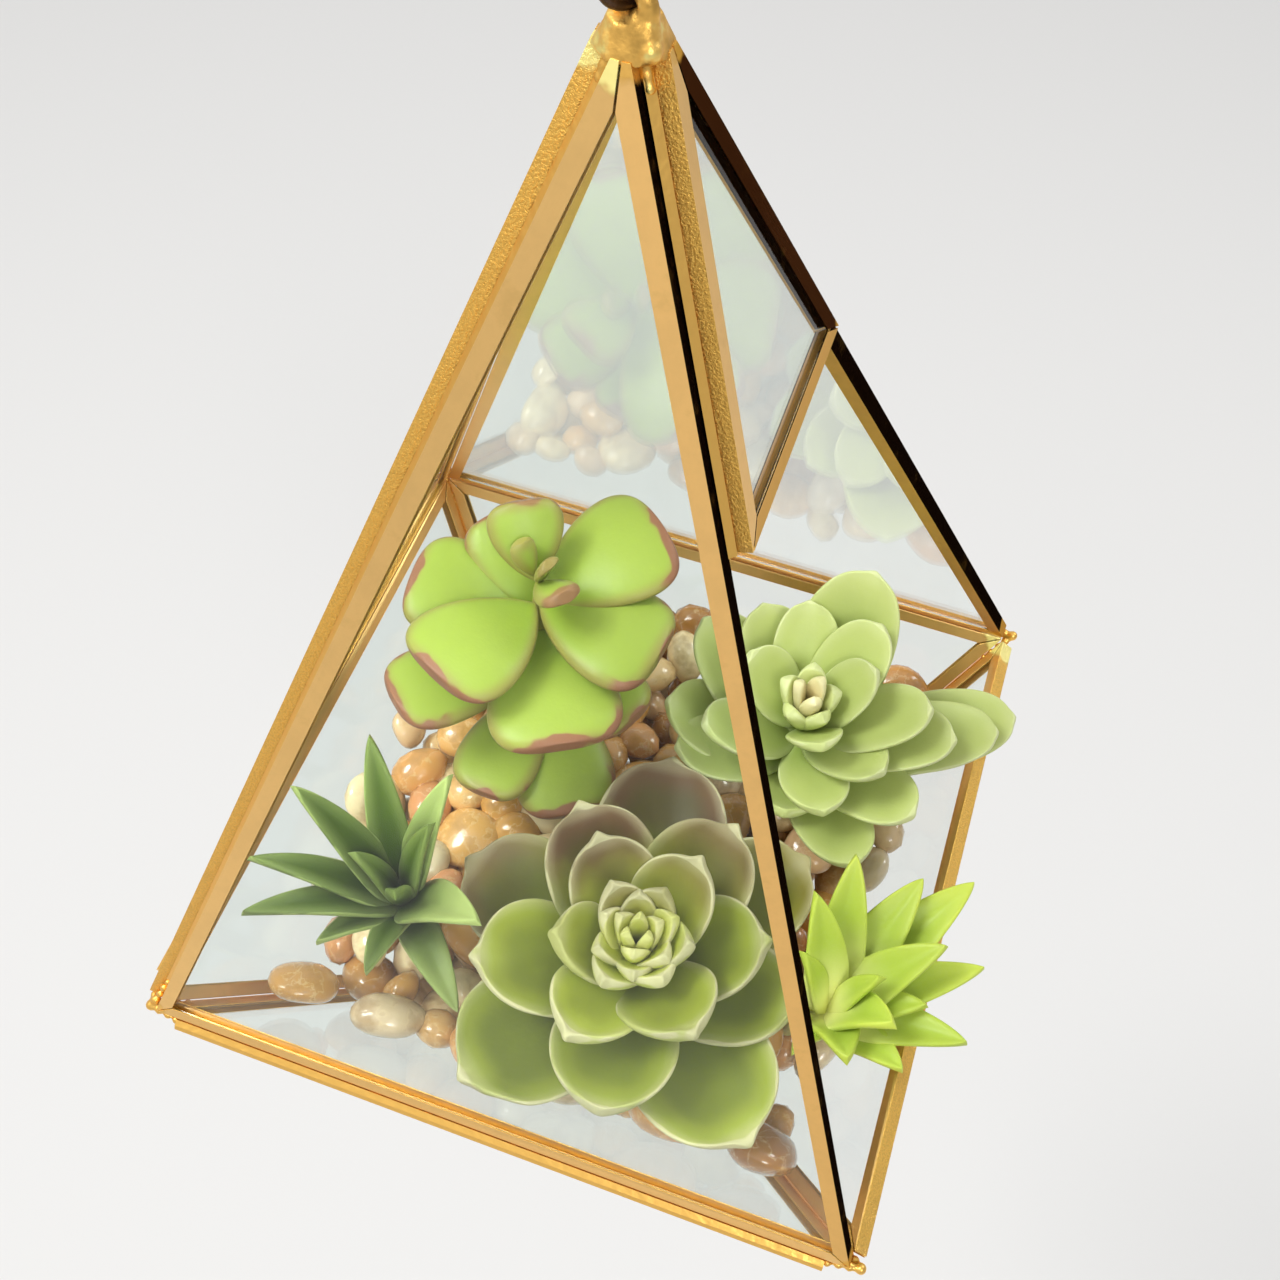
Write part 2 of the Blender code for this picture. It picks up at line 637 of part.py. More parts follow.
def stem_cylinder(plant, extra, collection):
    """A stem, or with the extra all round it the hole that it stands in."""
    recipe = PLANTS[plant]
    radius, top, depth, lean = (length * MM for length in recipe["stem"])
    x, y = (length * MM for length in recipe["axis"])
    foot = Vector((x - lean, y, bed_height(y) - depth))
    head = Vector((x, y, top))
    along = (head - foot).normalized()
    foot -= along * extra
    builder = bmesh.new()
    bmesh.ops.create_cone(builder, cap_ends=True, segments=STEM_SEGMENTS,
                          radius1=radius + extra, radius2=radius + extra, depth=(head - foot).length)
    turn = Vector((0, 0, 1)).rotation_difference(along).to_matrix().to_4x4()
    place = Matrix.Translation((head + foot) / 2) @ turn
    bmesh.ops.transform(builder, verts=builder.verts, matrix=place)
    return new_object(plant, builder, None if extra else recipe["finish"], collection)


def leaf_limits():
    """Planes that bound the leaves' room, each as its outward normal and distance from the centre."""
    limits = []
    for pane in ("upper_front", "upper_left", "upper_back"):
        normal = pane_normal(pane)
        limits.append((normal, normal.dot(POINTS["apex"]) - CAME_THICKNESS - LEAF_CLEARANCE))
    below = Vector((0, BED_SLOPE, -1)).normalized()
    pebble_tops = Vector((0, 0, BED_LEVEL + 1.15 * PEBBLE_SIZE.z))
    limits.append((below, below.dot(pebble_tops) - LEAF_CLEARANCE))
    over_sill = Vector((SILL_SLOPE, 0, -1)).normalized()
    sill = POINTS["back_right"] - pane_normal("lower_right") * CAME_THICKNESS
    limits.append((over_sill, over_sill.dot(sill) - LEAF_CLEARANCE))
    return limits


def bend_clear(ring, limits):
    """Move one cross-section of a leaf to the near side of every plane."""
    shift = Vector((0, 0, 0))
    for normal, limit in limits * 2:
        excess = max(normal.dot(point + shift) for point in ring) - limit
        shift -= normal * max(0.0, excess)
    return [point + shift for point in ring]


def leaf_width(share, outline):
    """Share of the leaf's full width at a share of its length."""
    foot, end = OUTLINES[outline]
    widest = foot / (foot + end)
    return (share / widest) ** foot * ((1 - share) / (1 - widest)) ** end


def curve_point(share, start, middle, end):
    return start * (1 - share) ** 2 + middle * 2 * share * (1 - share) + end * share ** 2


def curve_slope(share, start, middle, end):
    return ((middle - start) * (1 - share) + (end - middle) * share).normalized()


def make_leaf(recipe, whorl, leaf, collection):
    """A fleshy leaf: a sphere drawn out along a curve to the outline's width and cupped."""
    foot_height, thickness, droop, _ = whorl
    azimuth, reach, tip_height, width = leaf
    axis_x, axis_y = recipe["axis"]
    outward = Vector((cos(radians(azimuth)), sin(radians(azimuth)), 0))
    sideways = Vector((-outward.y, outward.x, 0))
    foot = Vector((axis_x, axis_y, foot_height)) + outward * LEAF_FOOT_RADIUS
    tip = Vector((axis_x, axis_y, tip_height)) + outward * reach
    middle = (foot + tip) / 2 - Vector((0, 0, droop))
    small = width < SMALL_LEAF_WIDTH
    slim = small or recipe["outline"] == "spike"
    builder = bmesh.new()
    bmesh.ops.create_uvsphere(builder, u_segments=6 if slim else 8, v_segments=5 if small else 6,
                              radius=1.0)
    rings = {}
    for vertex in builder.verts:
        rings.setdefault(round(vertex.co.z, 4), []).append(vertex)
    limits = leaf_limits()
    for height, ring in rings.items():
        share = (height + 1) / 2
        breadth = leaf_width(share, recipe["outline"])
        upward = curve_slope(share, foot, middle, tip).cross(sideways).normalized()
        section = []
        for vertex in ring:
            across, through = vertex.co.xy.normalized() if len(ring) > 1 else (0.0, 0.0)
            lift = thickness / 2 * through
            lift *= LEAF_MARGIN_SHARE + (1 - LEAF_MARGIN_SHARE) * breadth
            lift += recipe["cup"] * width / 2 * breadth * across ** 2
            point = curve_point(share, foot, middle, tip) + upward * lift
            section.append((point + sideways * (across * breadth * width / 2)) * MM)
        for vertex, point in zip(ring, bend_clear(section, limits)):
            vertex.co = point
    return new_object("leaf", builder, None, collection)


def make_plant(plant, collection):
    recipe = PLANTS[plant]
    stem = stem_cylinder(plant, 0.0, collection)
    leaves = [make_leaf(recipe, whorl, leaf, collection)
              for whorl in recipe["whorls"] for leaf in whorl[3]]
    fuse(stem, leaves, solver="MANIFOLD")
    keep_largest_shell(stem)
    shade_round(stem)
    return stem


def add_empty(name, height, collection):
    empty = bpy.data.objects.new(name, None)
    empty.location = (0, 0, height)
    collection.objects.link(empty)
    return empty


def hang_from_origin(collection):
    """Put the ring on the hook at the origin, and all else on the axis that it swings about."""
    pieces = list(collection.objects)
    hook = add_empty("hook", 0.0, collection)
    swing = add_empty("swing_axis", swing_height() - hang_height(), collection)
    for item in pieces:
        held = item.name == "hanging_ring"
        item.parent = hook if held else swing
        item.location = (0, 0, -hang_height() if held else -swing_height())


def main():
    clear_scene()
    terrarium = new_collection("hanging_terrarium")
    for name in FINISHES:
        make_finish(name)
    for pane in PANES:
        make_glass(pane, terrarium)
        for index in range(3):
            make_came(pane, index, terrarium)
    for name in SEAMS:
        make_seam(name, terrarium)
    make_cap("solder_cap_tip", POINTS["tip"], Vector((0, 0, 1)), TIP_CAP_DROP, TIP_CAP_HEIGHT, 4,
             terrarium)
    for corner in ("front_left", "front_right", "back_right", "back_left"):
        make_bead(corner, terrarium)
    make_eyelet(terrarium)
    make_ring(terrarium)
    make_bed(terrarium)
    for plant in PLANTS:
        make_plant(plant, terrarium)
    hang_from_origin(terrarium)


main()
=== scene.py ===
"""Looks of the hanging glass terrarium: antiqued brass, solder, glass, pebbles and plants."""
import random
from math import copysign, cos, pi, radians, sin, sqrt

import bmesh
import bpy
import numpy as np
from bpy.props import FloatProperty, FloatVectorProperty, IntProperty, PointerProperty
from mathutils import Matrix, Vector, noise


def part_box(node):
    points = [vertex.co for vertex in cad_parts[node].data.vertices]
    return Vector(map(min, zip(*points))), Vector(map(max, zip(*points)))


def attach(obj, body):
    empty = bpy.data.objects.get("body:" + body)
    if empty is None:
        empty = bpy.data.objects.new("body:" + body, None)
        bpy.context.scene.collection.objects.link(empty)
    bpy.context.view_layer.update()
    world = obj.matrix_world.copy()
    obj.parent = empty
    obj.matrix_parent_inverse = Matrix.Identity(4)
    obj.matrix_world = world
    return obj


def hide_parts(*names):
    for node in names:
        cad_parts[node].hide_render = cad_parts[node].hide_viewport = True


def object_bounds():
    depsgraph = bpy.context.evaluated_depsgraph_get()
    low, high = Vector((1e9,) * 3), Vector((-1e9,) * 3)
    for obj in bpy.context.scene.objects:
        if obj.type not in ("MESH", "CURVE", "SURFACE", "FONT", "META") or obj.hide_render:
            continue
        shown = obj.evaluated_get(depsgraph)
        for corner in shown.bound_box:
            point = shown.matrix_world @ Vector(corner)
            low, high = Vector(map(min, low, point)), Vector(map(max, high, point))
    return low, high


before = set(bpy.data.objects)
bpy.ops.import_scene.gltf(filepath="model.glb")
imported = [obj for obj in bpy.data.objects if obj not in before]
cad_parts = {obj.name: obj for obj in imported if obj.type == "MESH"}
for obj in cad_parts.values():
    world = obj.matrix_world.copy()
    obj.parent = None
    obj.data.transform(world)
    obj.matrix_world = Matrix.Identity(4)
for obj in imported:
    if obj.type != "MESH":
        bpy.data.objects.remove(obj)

CAD_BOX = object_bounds()

bl_info = {
    "name": "Hanging glass terrarium",
    "version": (1, 0, 0),
    "blender": (4, 5, 0),
    "location": "3D View > Sidebar > Terrarium",
    "description": "Finishes a hanging glass terrarium with brass, glass, pebbles and succulents",
    "category": "Object",
}

MM = 0.001
GIRDLE_HALF = 0.075
GIRDLE_LEVEL = -0.1990
UPPER_HEIGHT = 0.197
LOWER_HEIGHT = 0.111
TOP_PANE_SHARE = 0.328
CAME_THICKNESS = 0.0032

# Stones, in millimetres from the girdle's centre
BED_LEVEL = -16.5
BED_SLOPE = 0.06
PEBBLE_CLEARANCE = 3.5
PEBBLE_PITCH = 19.5
PEBBLE_SIZE = Vector((10.6, 9.4, 5.8))
PEBBLE_SIZE_RANGE = (0.88, 1.12)
PEBBLE_SCATTER = 1.0
PEBBLE_TILT = 0.25
PEBBLE_SEED = 7
PEBBLE_EDGE_ROOM = 8.5
PEBBLE_TOP_ROOM = 3.8
HIDDEN_DEPTH = 24
STRAY_DISTANCE = 13
STONE_DISTANCE = 10

# A leaf outline is share ** foot * (1 - share) ** end, where share runs from foot to tip
OUTLINES = {"spoon": (0.60, 0.40), "paddle": (0.75, 0.30), "spike": (0.26, 0.74)}

# Lengths in millimetres, heights from the girdle.
# Shades: colours of foot, blade, margin, end and heart. Margin: its width, its depth of colour, and
# where it starts along the leaf. Ends: how strong their colour is, and where it starts and is full.
# Cup shade: how strong the painted shade is in the cups of the outer leaves, drawn in the foot colour.
# Gloss: roughness of blades and of heart.
# Stem: radius, height of its top, depth in the bed, lean towards +X. Whorl: height of its feet, leaf
# thickness, droop of the middle, and its leaves, each with its azimuth in degrees, reach, height of
# the tip and width.
PLANTS = {
    "front_rosette": {
        "slot": "grey_rosette_leaf", "plastic": "sprayed_plastic_grey_green", "paint": "front",
        "shades": ("foot", "blade", "rim", "tip", "heart"), "margin": (0.5, 0.8, 0.3),
        "ends": (1.5, 0.5, 1.15), "hollows": 0.58, "heart_from": 0.1, "gloss": (0.42, 0.34),
        "outline": "spoon", "axis": (16, -34), "stem": (3.2, 15, 14, 0), "cup": 0.5,
        "fold": 1.9, "fullness": 1.6, "curl": 2.2, "point": 2.2, "blush": 115,
        "whorls": [
            (-2, 2.6, 2.5, [(99, 45, 5, 29), (167, 41, 3, 27), (-127, 40, 2, 29), (-39, 40, 2, 29),
                            (3, 33, 5, 23), (50, 41, 5, 26)]),
            (3, 2.5, 2.0, [(70, 32, 15, 24), (131, 32, 15, 24), (21, 26, 15, 22), (-157, 32, 13, 24),
                           (-84, 32, 11, 25)]),
            (8, 2.4, 1.5, [(131, 22, 22, 19), (70, 20, 22, 18), (-163, 17, 20, 16), (-106, 23, 18, 19),
                           (-42, 22, 19, 20)]),
            (11, 2.0, 1.0, [(138, 11, 25, 11), (76, 10, 25, 11), (4, 11, 24, 11), (-106, 12, 22, 11),
                            (-45, 11, 23, 11)]),
            (12, 1.8, 0.8, [(172, 8, 24, 8), (107, 8, 25, 8), (38, 8, 25, 8), (-25, 8, 24, 8),
                            (-76, 9, 23, 8), (-140, 9, 23, 8)]),
            (13, 1.6, 0.5, [(40, 5, 25, 6), (160, 5, 25, 6), (-80, 5, 24, 6)]),
            (14, 1.4, 0.2, [(100, 3, 26, 4), (-20, 3, 26, 4), (-140, 3, 26, 4)]),
        ]},
    "paddle_plant": {
        "slot": "paddle_leaf", "plastic": "sprayed_plastic_yellow_green", "paint": "paddle",
        "shades": ("foot", "blade", "rim", "tip", "blade"), "margin": (1.5, 1.0, 0.85),
        "ends": (0.3, 0.7, 1.2), "hollows": 0.1, "heart_from": 0.2, "gloss": (0.33, 0.30),
        "outline": "paddle", "axis": (-26, 22), "stem": (2.6, 46, 14, 0), "cup": -0.12,
        "fold": 2.2, "fullness": 1.7, "curl": -1.4, "point": 0.0, "blush": -90,
        "whorls": [
            (3, 2.2, -2.0, [(-57, 32, 0, 23), (-95, 31, 5, 19), (95, 24, 18, 19), (160, 26, 20, 19)]),
            (14, 2.2, -3.0, [(-132, 34, 25, 21), (-24, 28, 22, 19), (60, 23, 31, 19)]),
            (26, 2.2, -3.0, [(-60, 32, 33, 28), (134, 23, 39, 18), (-176, 27, 38, 25)]),
            (35, 2.2, -2.0, [(-115, 28, 42, 26), (-8, 29, 39, 25), (48, 29, 46, 27)]),
            (43, 1.8, 0.0, [(122, 12, 55, 16), (-35, 11, 52, 9)]),
            (45, 1.4, 0.0, [(150, 4, 53, 6), (-20, 4, 54, 6)]),
        ]},
    "right_rosette": {
        "slot": "pale_rosette_leaf", "plastic": "sprayed_plastic_pale_green", "paint": "right",
        "shades": ("foot", "blade", "rim", "tip", "heart"), "margin": (0.3, 0.5, 0.4),
        "ends": (0.6, 0.7, 1.2), "hollows": 0.3, "heart_from": 0.8, "gloss": (0.36, 0.12),
        "outline": "spoon", "axis": (33, 25), "stem": (3.0, 17, 14, 0), "cup": 0.3,
        "fold": 2.4, "fullness": 1.3, "curl": 1.0, "point": 1.0, "blush": 90,
        "whorls": [
            (-2, 2.4, 1.5, [(25, 48, 8, 20), (-50, 30, 3, 17), (-84, 19, 7, 16), (-176, 30, 10, 19),
                            (80, 32, 31, 23)]),
            (2, 2.3, 1.5, [(17, 42, 13, 18), (-22, 30, 10, 17), (-155, 27, 8, 17), (150, 32, 18, 19)]),
            (7, 2.2, 1.0, [(8, 32, 18, 17), (128, 26, 23, 17), (-62, 21, 13, 15), (-152, 22, 20, 15)]),
            (10, 2.1, 1.0, [(14, 26, 24, 16), (106, 23, 27, 15), (62, 22, 30, 16), (-24, 21, 19, 14)]),
            (13, 2.0, 0.5, [(158, 16, 26, 14), (36, 15, 29, 13), (-60, 12, 25, 12)]),
            (15, 2.4, 0.0, [(25, 6, 27, 7), (98, 6, 29, 7), (170, 6, 28, 7), (-118, 6, 26, 7),
                            (-46, 6, 26, 7)]),
            (17, 2.0, 0.0, [(60, 3, 30, 5), (180, 3, 30, 5), (-60, 3, 29, 5)]),
        ]},
    "left_spikes": {
        "slot": "dark_spike_leaf", "plastic": "moulded_plastic_dark_green", "paint": "dark",
        "shades": ("foot", "blade", "tip", "tip", "blade"), "margin": (0.3, 0.5, 0.2),
        "ends": (2.2, 0.25, 1.0), "hollows": 0.3, "heart_from": 0.2, "gloss": (0.38, 0.38),
        "outline": "spike", "axis": (-36, -34), "stem": (2.2, 2, 12, -3), "cup": 0.55,
        "fold": 1.25, "fullness": 1.6, "curl": 0.0, "point": 0.0, "blush": 35,
        "whorls": [
            (-8, 1.8, -5.0, [(-42, 27, -5, 9), (-87, 19, 2, 7), (-122, 20, 4, 7)]),
            (-5, 1.9, -5.0, [(-17, 23, 19, 12), (-139, 30, 17, 8), (-157, 27, 22, 8)]),
            (-3, 1.9, -5.0, [(72, 19, 25, 8), (122, 23, 28, 9), (171, 21, 30, 9)]),
            (-2, 1.7, -3.0, [(55, 10, 22, 7), (-60, 7, 16, 6), (-170, 8, 18, 6)]),
        ]},
    "right_spikes": {
        "slot": "lime_spike_leaf", "plastic": "moulded_plastic_lime", "paint": "lime",
        "shades": ("foot", "blade", "tip", "tip", "blade"), "margin": (0.3, 0.4, 0.2),
        "ends": (1.0, 0.7, 1.2), "hollows": 0.0, "heart_from": 0.2, "gloss": (0.36, 0.36),
        "outline": "spike", "axis": (55, -28), "stem": (2.2, 1, 7, 8), "cup": 0.55,
        "fold": 1.25, "fullness": 1.6, "curl": 0.0, "point": 0.0, "blush": 90,
        "whorls": [
            (-9, 1.9, -5.0, [(-29, 19, 5, 10), (-2, 27, 8, 11), (29, 31, 8, 11), (-110, 13, 5, 8)]),
            (-7, 1.9, -5.0, [(55, 36, 14, 13), (10, 18, 10, 9), (-66, 14, 10, 11)]),
            (-5, 1.9, -5.0, [(68, 28, 16, 12), (36, 22, 18, 11), (99, 24, 22, 11), (-24, 13, 17, 11)]),
            (-3, 1.8, -4.0, [(128, 15, 25, 10), (160, 9, 16, 6), (20, 8, 18, 6)]),
        ]},
}
LEAF_LAYERS = ("edge", "along", "rank", "tone", "blush")
LEAF_FOOT_RADIUS = 0.8
LEAF_CLEARANCE = 1.0
LEAF_MARGIN_SHARE = 0.75
POINT_START = 0.9985
CUPPED_FROM = 0.65
SILL_SLOPE = 0.45


def srgb(code):
    """A hex sRGB colour as linear red, green and blue."""
    values = [int(code[at:at + 2], 16) / 255 for at in (1, 3, 5)]
    return tuple(v / 12.92 if v <= 0.04045 else ((v + 0.055) / 1.055) ** 2.4 for v in values)


def colour(name, code, description):
    return FloatVectorProperty(name=name, description=description, subtype="COLOR", size=3,
                               min=0.0, max=1.0, default=srgb(code))


def length(name, default, description):
    return FloatProperty(name=name, description=description, default=default, min=0.0,
                         subtype="DISTANCE", unit="LENGTH", precision=5)


class BodyLooks(bpy.types.PropertyGroup):
    flange: colour("Came face", "#FFD084", "Smooth faces of the brass came")
    web: colour("Came back", "#FAC764", "Granular back of the brass came")
    # Painted shade: the dark brown of the came backs that face away from the lamps, on the open side
    # and in the front right rib's groove.
    painted_shade: colour("Patina", "#160D07", "Dark patina on the backs that face the open side")
    # Painted shade: the brown of the came face on the shaded far edge.
    shaded_face: colour("Dark came", "#5A3A22", "Browned face of the came on the far edge")
    solder: colour("Solder", "#F8C466", "Gold-plated solder")
    bright: colour("Bright solder", "#FFF096", "Thin bright solder on the came's ends")
    ring: colour("Ring", "#4A3C34", "Dark antiqued wire of the hanging ring")
    glass: colour("Glass", "#F6FAF8", "Tint of the sheet glass")
    gloss: FloatProperty(name="Glass gloss", default=0.9, min=0.0, max=1.0,
                         description="Strength of the mirror image in the panes")
    front_gloss: FloatProperty(name="Front gloss", default=0.1, min=0.0, max=1.0,
                               description="Strength of the mirror image in the front pane")
    bevel: length("Came bevel", 0.00022, "Rounding of the came's edges")
    grain: length("Grain", 0.00036, "Size of the grains on a came's back")


class PebbleLooks(bpy.types.PropertyGroup):
    count: IntProperty(name="Small pebbles", description="Stones between the large ones",
                       default=560, min=1)
    seed: IntProperty(name="Seed", description="Picks another heap", default=11)
    share: FloatProperty(name="Large pebbles", default=0.78, min=0.1,
                         description="Size of a large stone as a share of the solid's stone")
    small: length("Smallest", 0.0038, "Smallest radius of a small stone")
    large: length("Largest", 0.0052, "Largest radius of a small stone")
    tan: colour("Tan", "#E8AC58", "Commonest stone")
    cream: colour("Cream", "#FCE6B4", "Pale stone")
    brown: colour("Brown", "#A46A30", "Dark stone")
    pink: colour("Pink", "#DC9868", "Reddish stone")
    grey: colour("Grey", "#E8D8B8", "Grey stone")


class LeafLooks(bpy.types.PropertyGroup):
    # The front foot's dark olive is partly painted shade under the overlapping leaves, and it is also
    # the colour of the painted shade in the cups.
    front_foot: colour("Front foot", "#465010", "Front rosette, leaf feet")
    front_blade: colour("Front blade", "#9CA63A", "Front rosette, blades")
    # The front and right rim colours also serve as painted light in a soft band along the margins.
    front_rim: colour("Front rim", "#CCC49A", "Front rosette, margins")
    front_tip: colour("Front tip", "#74563C", "Front rosette, ends of the rear leaves")
    front_heart: colour("Front heart", "#D8DC50", "Front rosette, young leaves")
    paddle_foot: colour("Paddle foot", "#8AA034", "Paddle plant, leaf feet")
    paddle_blade: colour("Paddle blade", "#9AAC48", "Paddle plant, blades")
    paddle_rim: colour("Paddle rim", "#94664C", "Paddle plant, brown margins")
    paddle_tip: colour("Paddle tip", "#AEBC4C", "Paddle plant, ends")
    right_foot: colour("Right foot", "#8A9C4C", "Right rosette, leaf feet")
    right_blade: colour("Right blade", "#B8C472", "Right rosette, blades")
    right_rim: colour("Right rim", "#DCE0AC", "Right rosette, margins")
    right_tip: colour("Right tip", "#C8CE84", "Right rosette, ends")
    right_heart: colour("Right heart", "#EAD8A4", "Right rosette, glossy heart")
    dark_foot: colour("Dark foot", "#22340A", "Left spikes, leaf feet")
    dark_blade: colour("Dark blade", "#486012", "Left spikes, blades")
    dark_tip: colour("Dark tip", "#C4D480", "Left spikes, ends")
    lime_foot: colour("Lime foot", "#F2F2A4", "Right spikes, leaf feet")
    lime_blade: colour("Lime blade", "#AEC44C", "Right spikes, blades")
    lime_tip: colour("Lime tip", "#D2DC5C", "Right spikes, ends")


class StageLooks(bpy.types.PropertyGroup):
    floor: colour("Floor", "#E4E3E1", "Plain pale floor")
    drop: length("Floor drop", 0.6, "Height of the lower tip over the floor")
    sky: FloatProperty(name="Sky", description="Strength of the even light", default=0.8, min=0.0)
    key: FloatProperty(name="Key", description="Power of the large lamp", default=24.0, min=0.0,
                       unit="POWER")
    fill: FloatProperty(name="Fill", description="Power of the second lamp", default=6.0, min=0.0,
                        unit="POWER")
    front: FloatProperty(name="Front fill", description="Power of the lamp beside the camera",
                         default=6.0, min=0.0, unit="POWER")
    azimuth: FloatProperty(name="Azimuth", description="Camera, round from the front",
                           default=radians(17.25), subtype="ANGLE")
    elevation: FloatProperty(name="Elevation", description="Camera, over the horizon",
                             default=radians(57.6), subtype="ANGLE")
    roll: FloatProperty(name="Roll", description="Camera, turned on its own axis", default=0.04,
                        subtype="ANGLE")
    lens: FloatProperty(name="Lens", description="Camera's focal length in millimetres",
                        default=38.69, min=1.0)


# Small helpers

def feed(tree, node, inputs):
    """Set or link a node's inputs."""
    for socket, value in inputs.items():
        if isinstance(value, bpy.types.NodeSocket):
            tree.links.new(value, node.inputs[socket])
        else:
            node.inputs[socket].default_value = value


def add_node(tree, kind, inputs=None, stops=None, **settings):
    """Add a node with its settings and its inputs."""
    node = tree.nodes.new(kind)
    for name, value in settings.items():
        setattr(node, name, value)
    feed(tree, node, inputs or {})
    if stops:
        ramp = node.color_ramp
        while len(ramp.elements) < len(stops):
            ramp.elements.new(1.0)
        for element, (position, shade) in zip(ramp.elements, stops):
            element.position = position
            element.color = (*shade, 1.0)
    return node


def new_material(name):
    material = bpy.data.materials.new(name)
    material.use_nodes = True
    return material, material.node_tree, material.node_tree.nodes["Principled BSDF"]


def mix_colour(tree, share, first, second):
    node = add_node(tree, "ShaderNodeMix", {0: share, 6: first, 7: second}, data_type="RGBA")
    return node.outputs[2]


def math(tree, operation, first, second=0.0, third=0.0, clamp=False):
    node = add_node(tree, "ShaderNodeMath", {0: first, 1: second, 2: third}, operation=operation,
                    use_clamp=clamp)
    return node.outputs[0]


def ramp_between(tree, value, low, high):
    """0 below low, 1 above high, and smooth between."""
    node = add_node(tree, "ShaderNodeMapRange", {0: value, 1: low, 2: high},
                    interpolation_type="SMOOTHSTEP")
    return node.outputs[0]


def noise_value(tree, place, size, detail=3.0, roughness=0.55):
    """Noise whose blobs are about as large as the size in metres."""
    node = add_node(tree, "ShaderNodeTexNoise", {"Vector": place, "Scale": 1 / size,
                                                 "Detail": detail, "Roughness": roughness})
    return node.outputs["Fac"]


def bump(tree, shader, height, distance, strength=1.0):
    node = add_node(tree, "ShaderNodeBump", {"Height": height, "Distance": distance,
                                             "Strength": strength})
    feed(tree, shader, {"Normal": node.outputs[0]})


def object_place(tree):
    return add_node(tree, "ShaderNodeTexCoord").outputs["Object"]


def rgba(value):
    return (*value, 1.0)


def new_object(name, data):
    item = bpy.data.objects.new(name, data)
    bpy.context.scene.collection.objects.link(item)
    return item


def mesh_object(name, builder):
    """An object of a bmesh, which isn't needed after it."""
    mesh = bpy.data.meshes.new(name)
    builder.to_mesh(mesh)
    builder.free()
    return new_object(name, mesh)


def finish_piece(builder, name, material, body, node):
    """Turn a bmesh into a named piece that rides on a body and stands for a node."""
    piece = mesh_object(name, builder)
    piece.data.shade_smooth()
    piece.data.materials.append(material)
    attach(piece, body)
    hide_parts(node)
    return piece


def girdle_point(x, y, height):
    """A point from its place over the girdle's centre."""
    return Vector((x, y, height + GIRDLE_LEVEL))


def body_corners():
    half = GIRDLE_HALF
    corners = {
        "apex": girdle_point(0, 0, UPPER_HEIGHT),
        "tip": girdle_point(0, 0, -LOWER_HEIGHT),
        "front_left": girdle_point(-half, -half, 0),
        "front_right": girdle_point(half, -half, 0),
        "back_right": girdle_point(half, half, 0),
        "back_left": girdle_point(-half, half, 0),
    }
    corners["door_front"] = corners["apex"].lerp(corners["front_right"], TOP_PANE_SHARE)
    corners["door_back"] = corners["apex"].lerp(corners["back_right"], TOP_PANE_SHARE)
    return corners


CORNERS = body_corners()
PANES = {
    "upper_front": ("apex", "front_left", "front_right"),
    "upper_left": ("apex", "back_left", "front_left"),
    "upper_back": ("apex", "back_right", "back_left"),
    "upper_right": ("apex", "door_front", "door_back"),
    "lower_front": ("tip", "front_right", "front_left"),
    "lower_left": ("tip", "front_left", "back_left"),
    "lower_back": ("tip", "back_left", "back_right"),
    "lower_right": ("tip", "back_right", "front_right"),
}
RING_TURN = radians(240)
# From the girdle's centre, to the right, up and back in the camera's own directions
CAMERA_PLACE = (0.0046, 0.0360, 0.3012)
FLOOR_HALF = 30.0
MELT_PASSES = 7
SETTLE_PASSES = 140
APEX_SOLDER = 0.0142
LONG_APEX_SOLDER = 0.0154
TIP_SOLDER = 0.0120
DOOR_SOLDER = 0.0040
CORNER_SOLDER = 0.0065
LONG_CORNER_SOLDER = 0.0090
LUMP_OVERLAP = 0.0015
LUMP_RUN = 0.016
EYELET_WIRE = 0.00115
EYELET_HOLE = 0.0011
CAP_HEIGHT = 0.0028
CAP_RADII = (0.0048, 0.0030)
CAP_SAG = 0.0010
TIP_CAP_FOOT = 0.0024
BEAD_SHARE = 0.31
RING_RADIUS = 0.0050
RING_WIRE = 0.0006
# Radii of the solder balls from the middle of a joint outwards
APEX_RUN = (0.0018, 0.0014, 0.0012, 0.0011, 0.0010, 0.0008)
CORNER_RUN = (0.0011, 0.0010, 0.0009, 0.0009, 0.0008)
TIP_RUN = (0.0022, 0.0018, 0.0015, 0.0013, 0.0010)
APEX_LUMPS = (((0.0010, -0.0012, 0.0006), 0.0018), ((0.0026, -0.0026, -0.0010), 0.0014),
              ((0.0017, -0.0017, 0.0002), 0.0018), ((-0.0018, -0.0020, -0.0010), 0.0013))
# Came lengths whose backs get painted shade: the front right rib's groove and the lengths along the
# open side, which face away from the lamps.
SHADED_BACKS = ("came_upper_front_front_right_apex", "came_upper_back_apex_back_right",
              "came_upper_right_door_front_door_back", "came_upper_right_door_back_apex")
# The came length whose face gets painted shade, on the far edge.
SHADED_FACES = ("came_upper_right_door_back_apex",)
PALE_JOINTS = (("apex", "upper_front"), ("apex", "upper_left"), ("back_right", "lower_back"),
               ("back_right", "lower_right"))


def pane_normal(pane):
    first, second, third = (CORNERS[name] for name in PANES[pane])
    return (second - first).cross(third - first).normalized()


def came_ends(node):
    """The pane that a length of came frames, and the two corners that it runs between."""
    for pane, names in PANES.items():
        for index, start in enumerate(names):
            end = names[(index + 1) % 3]
            if node == "_".join(("came", pane, start, end)):
                return pane, start, end
    raise ValueError(node)


# Brass

def dot_with(tree, vector, direction):
    node = add_node(tree, "ShaderNodeVectorMath", {0: vector, 1: direction},
                    operation="DOT_PRODUCT")
    return node.outputs["Value"]


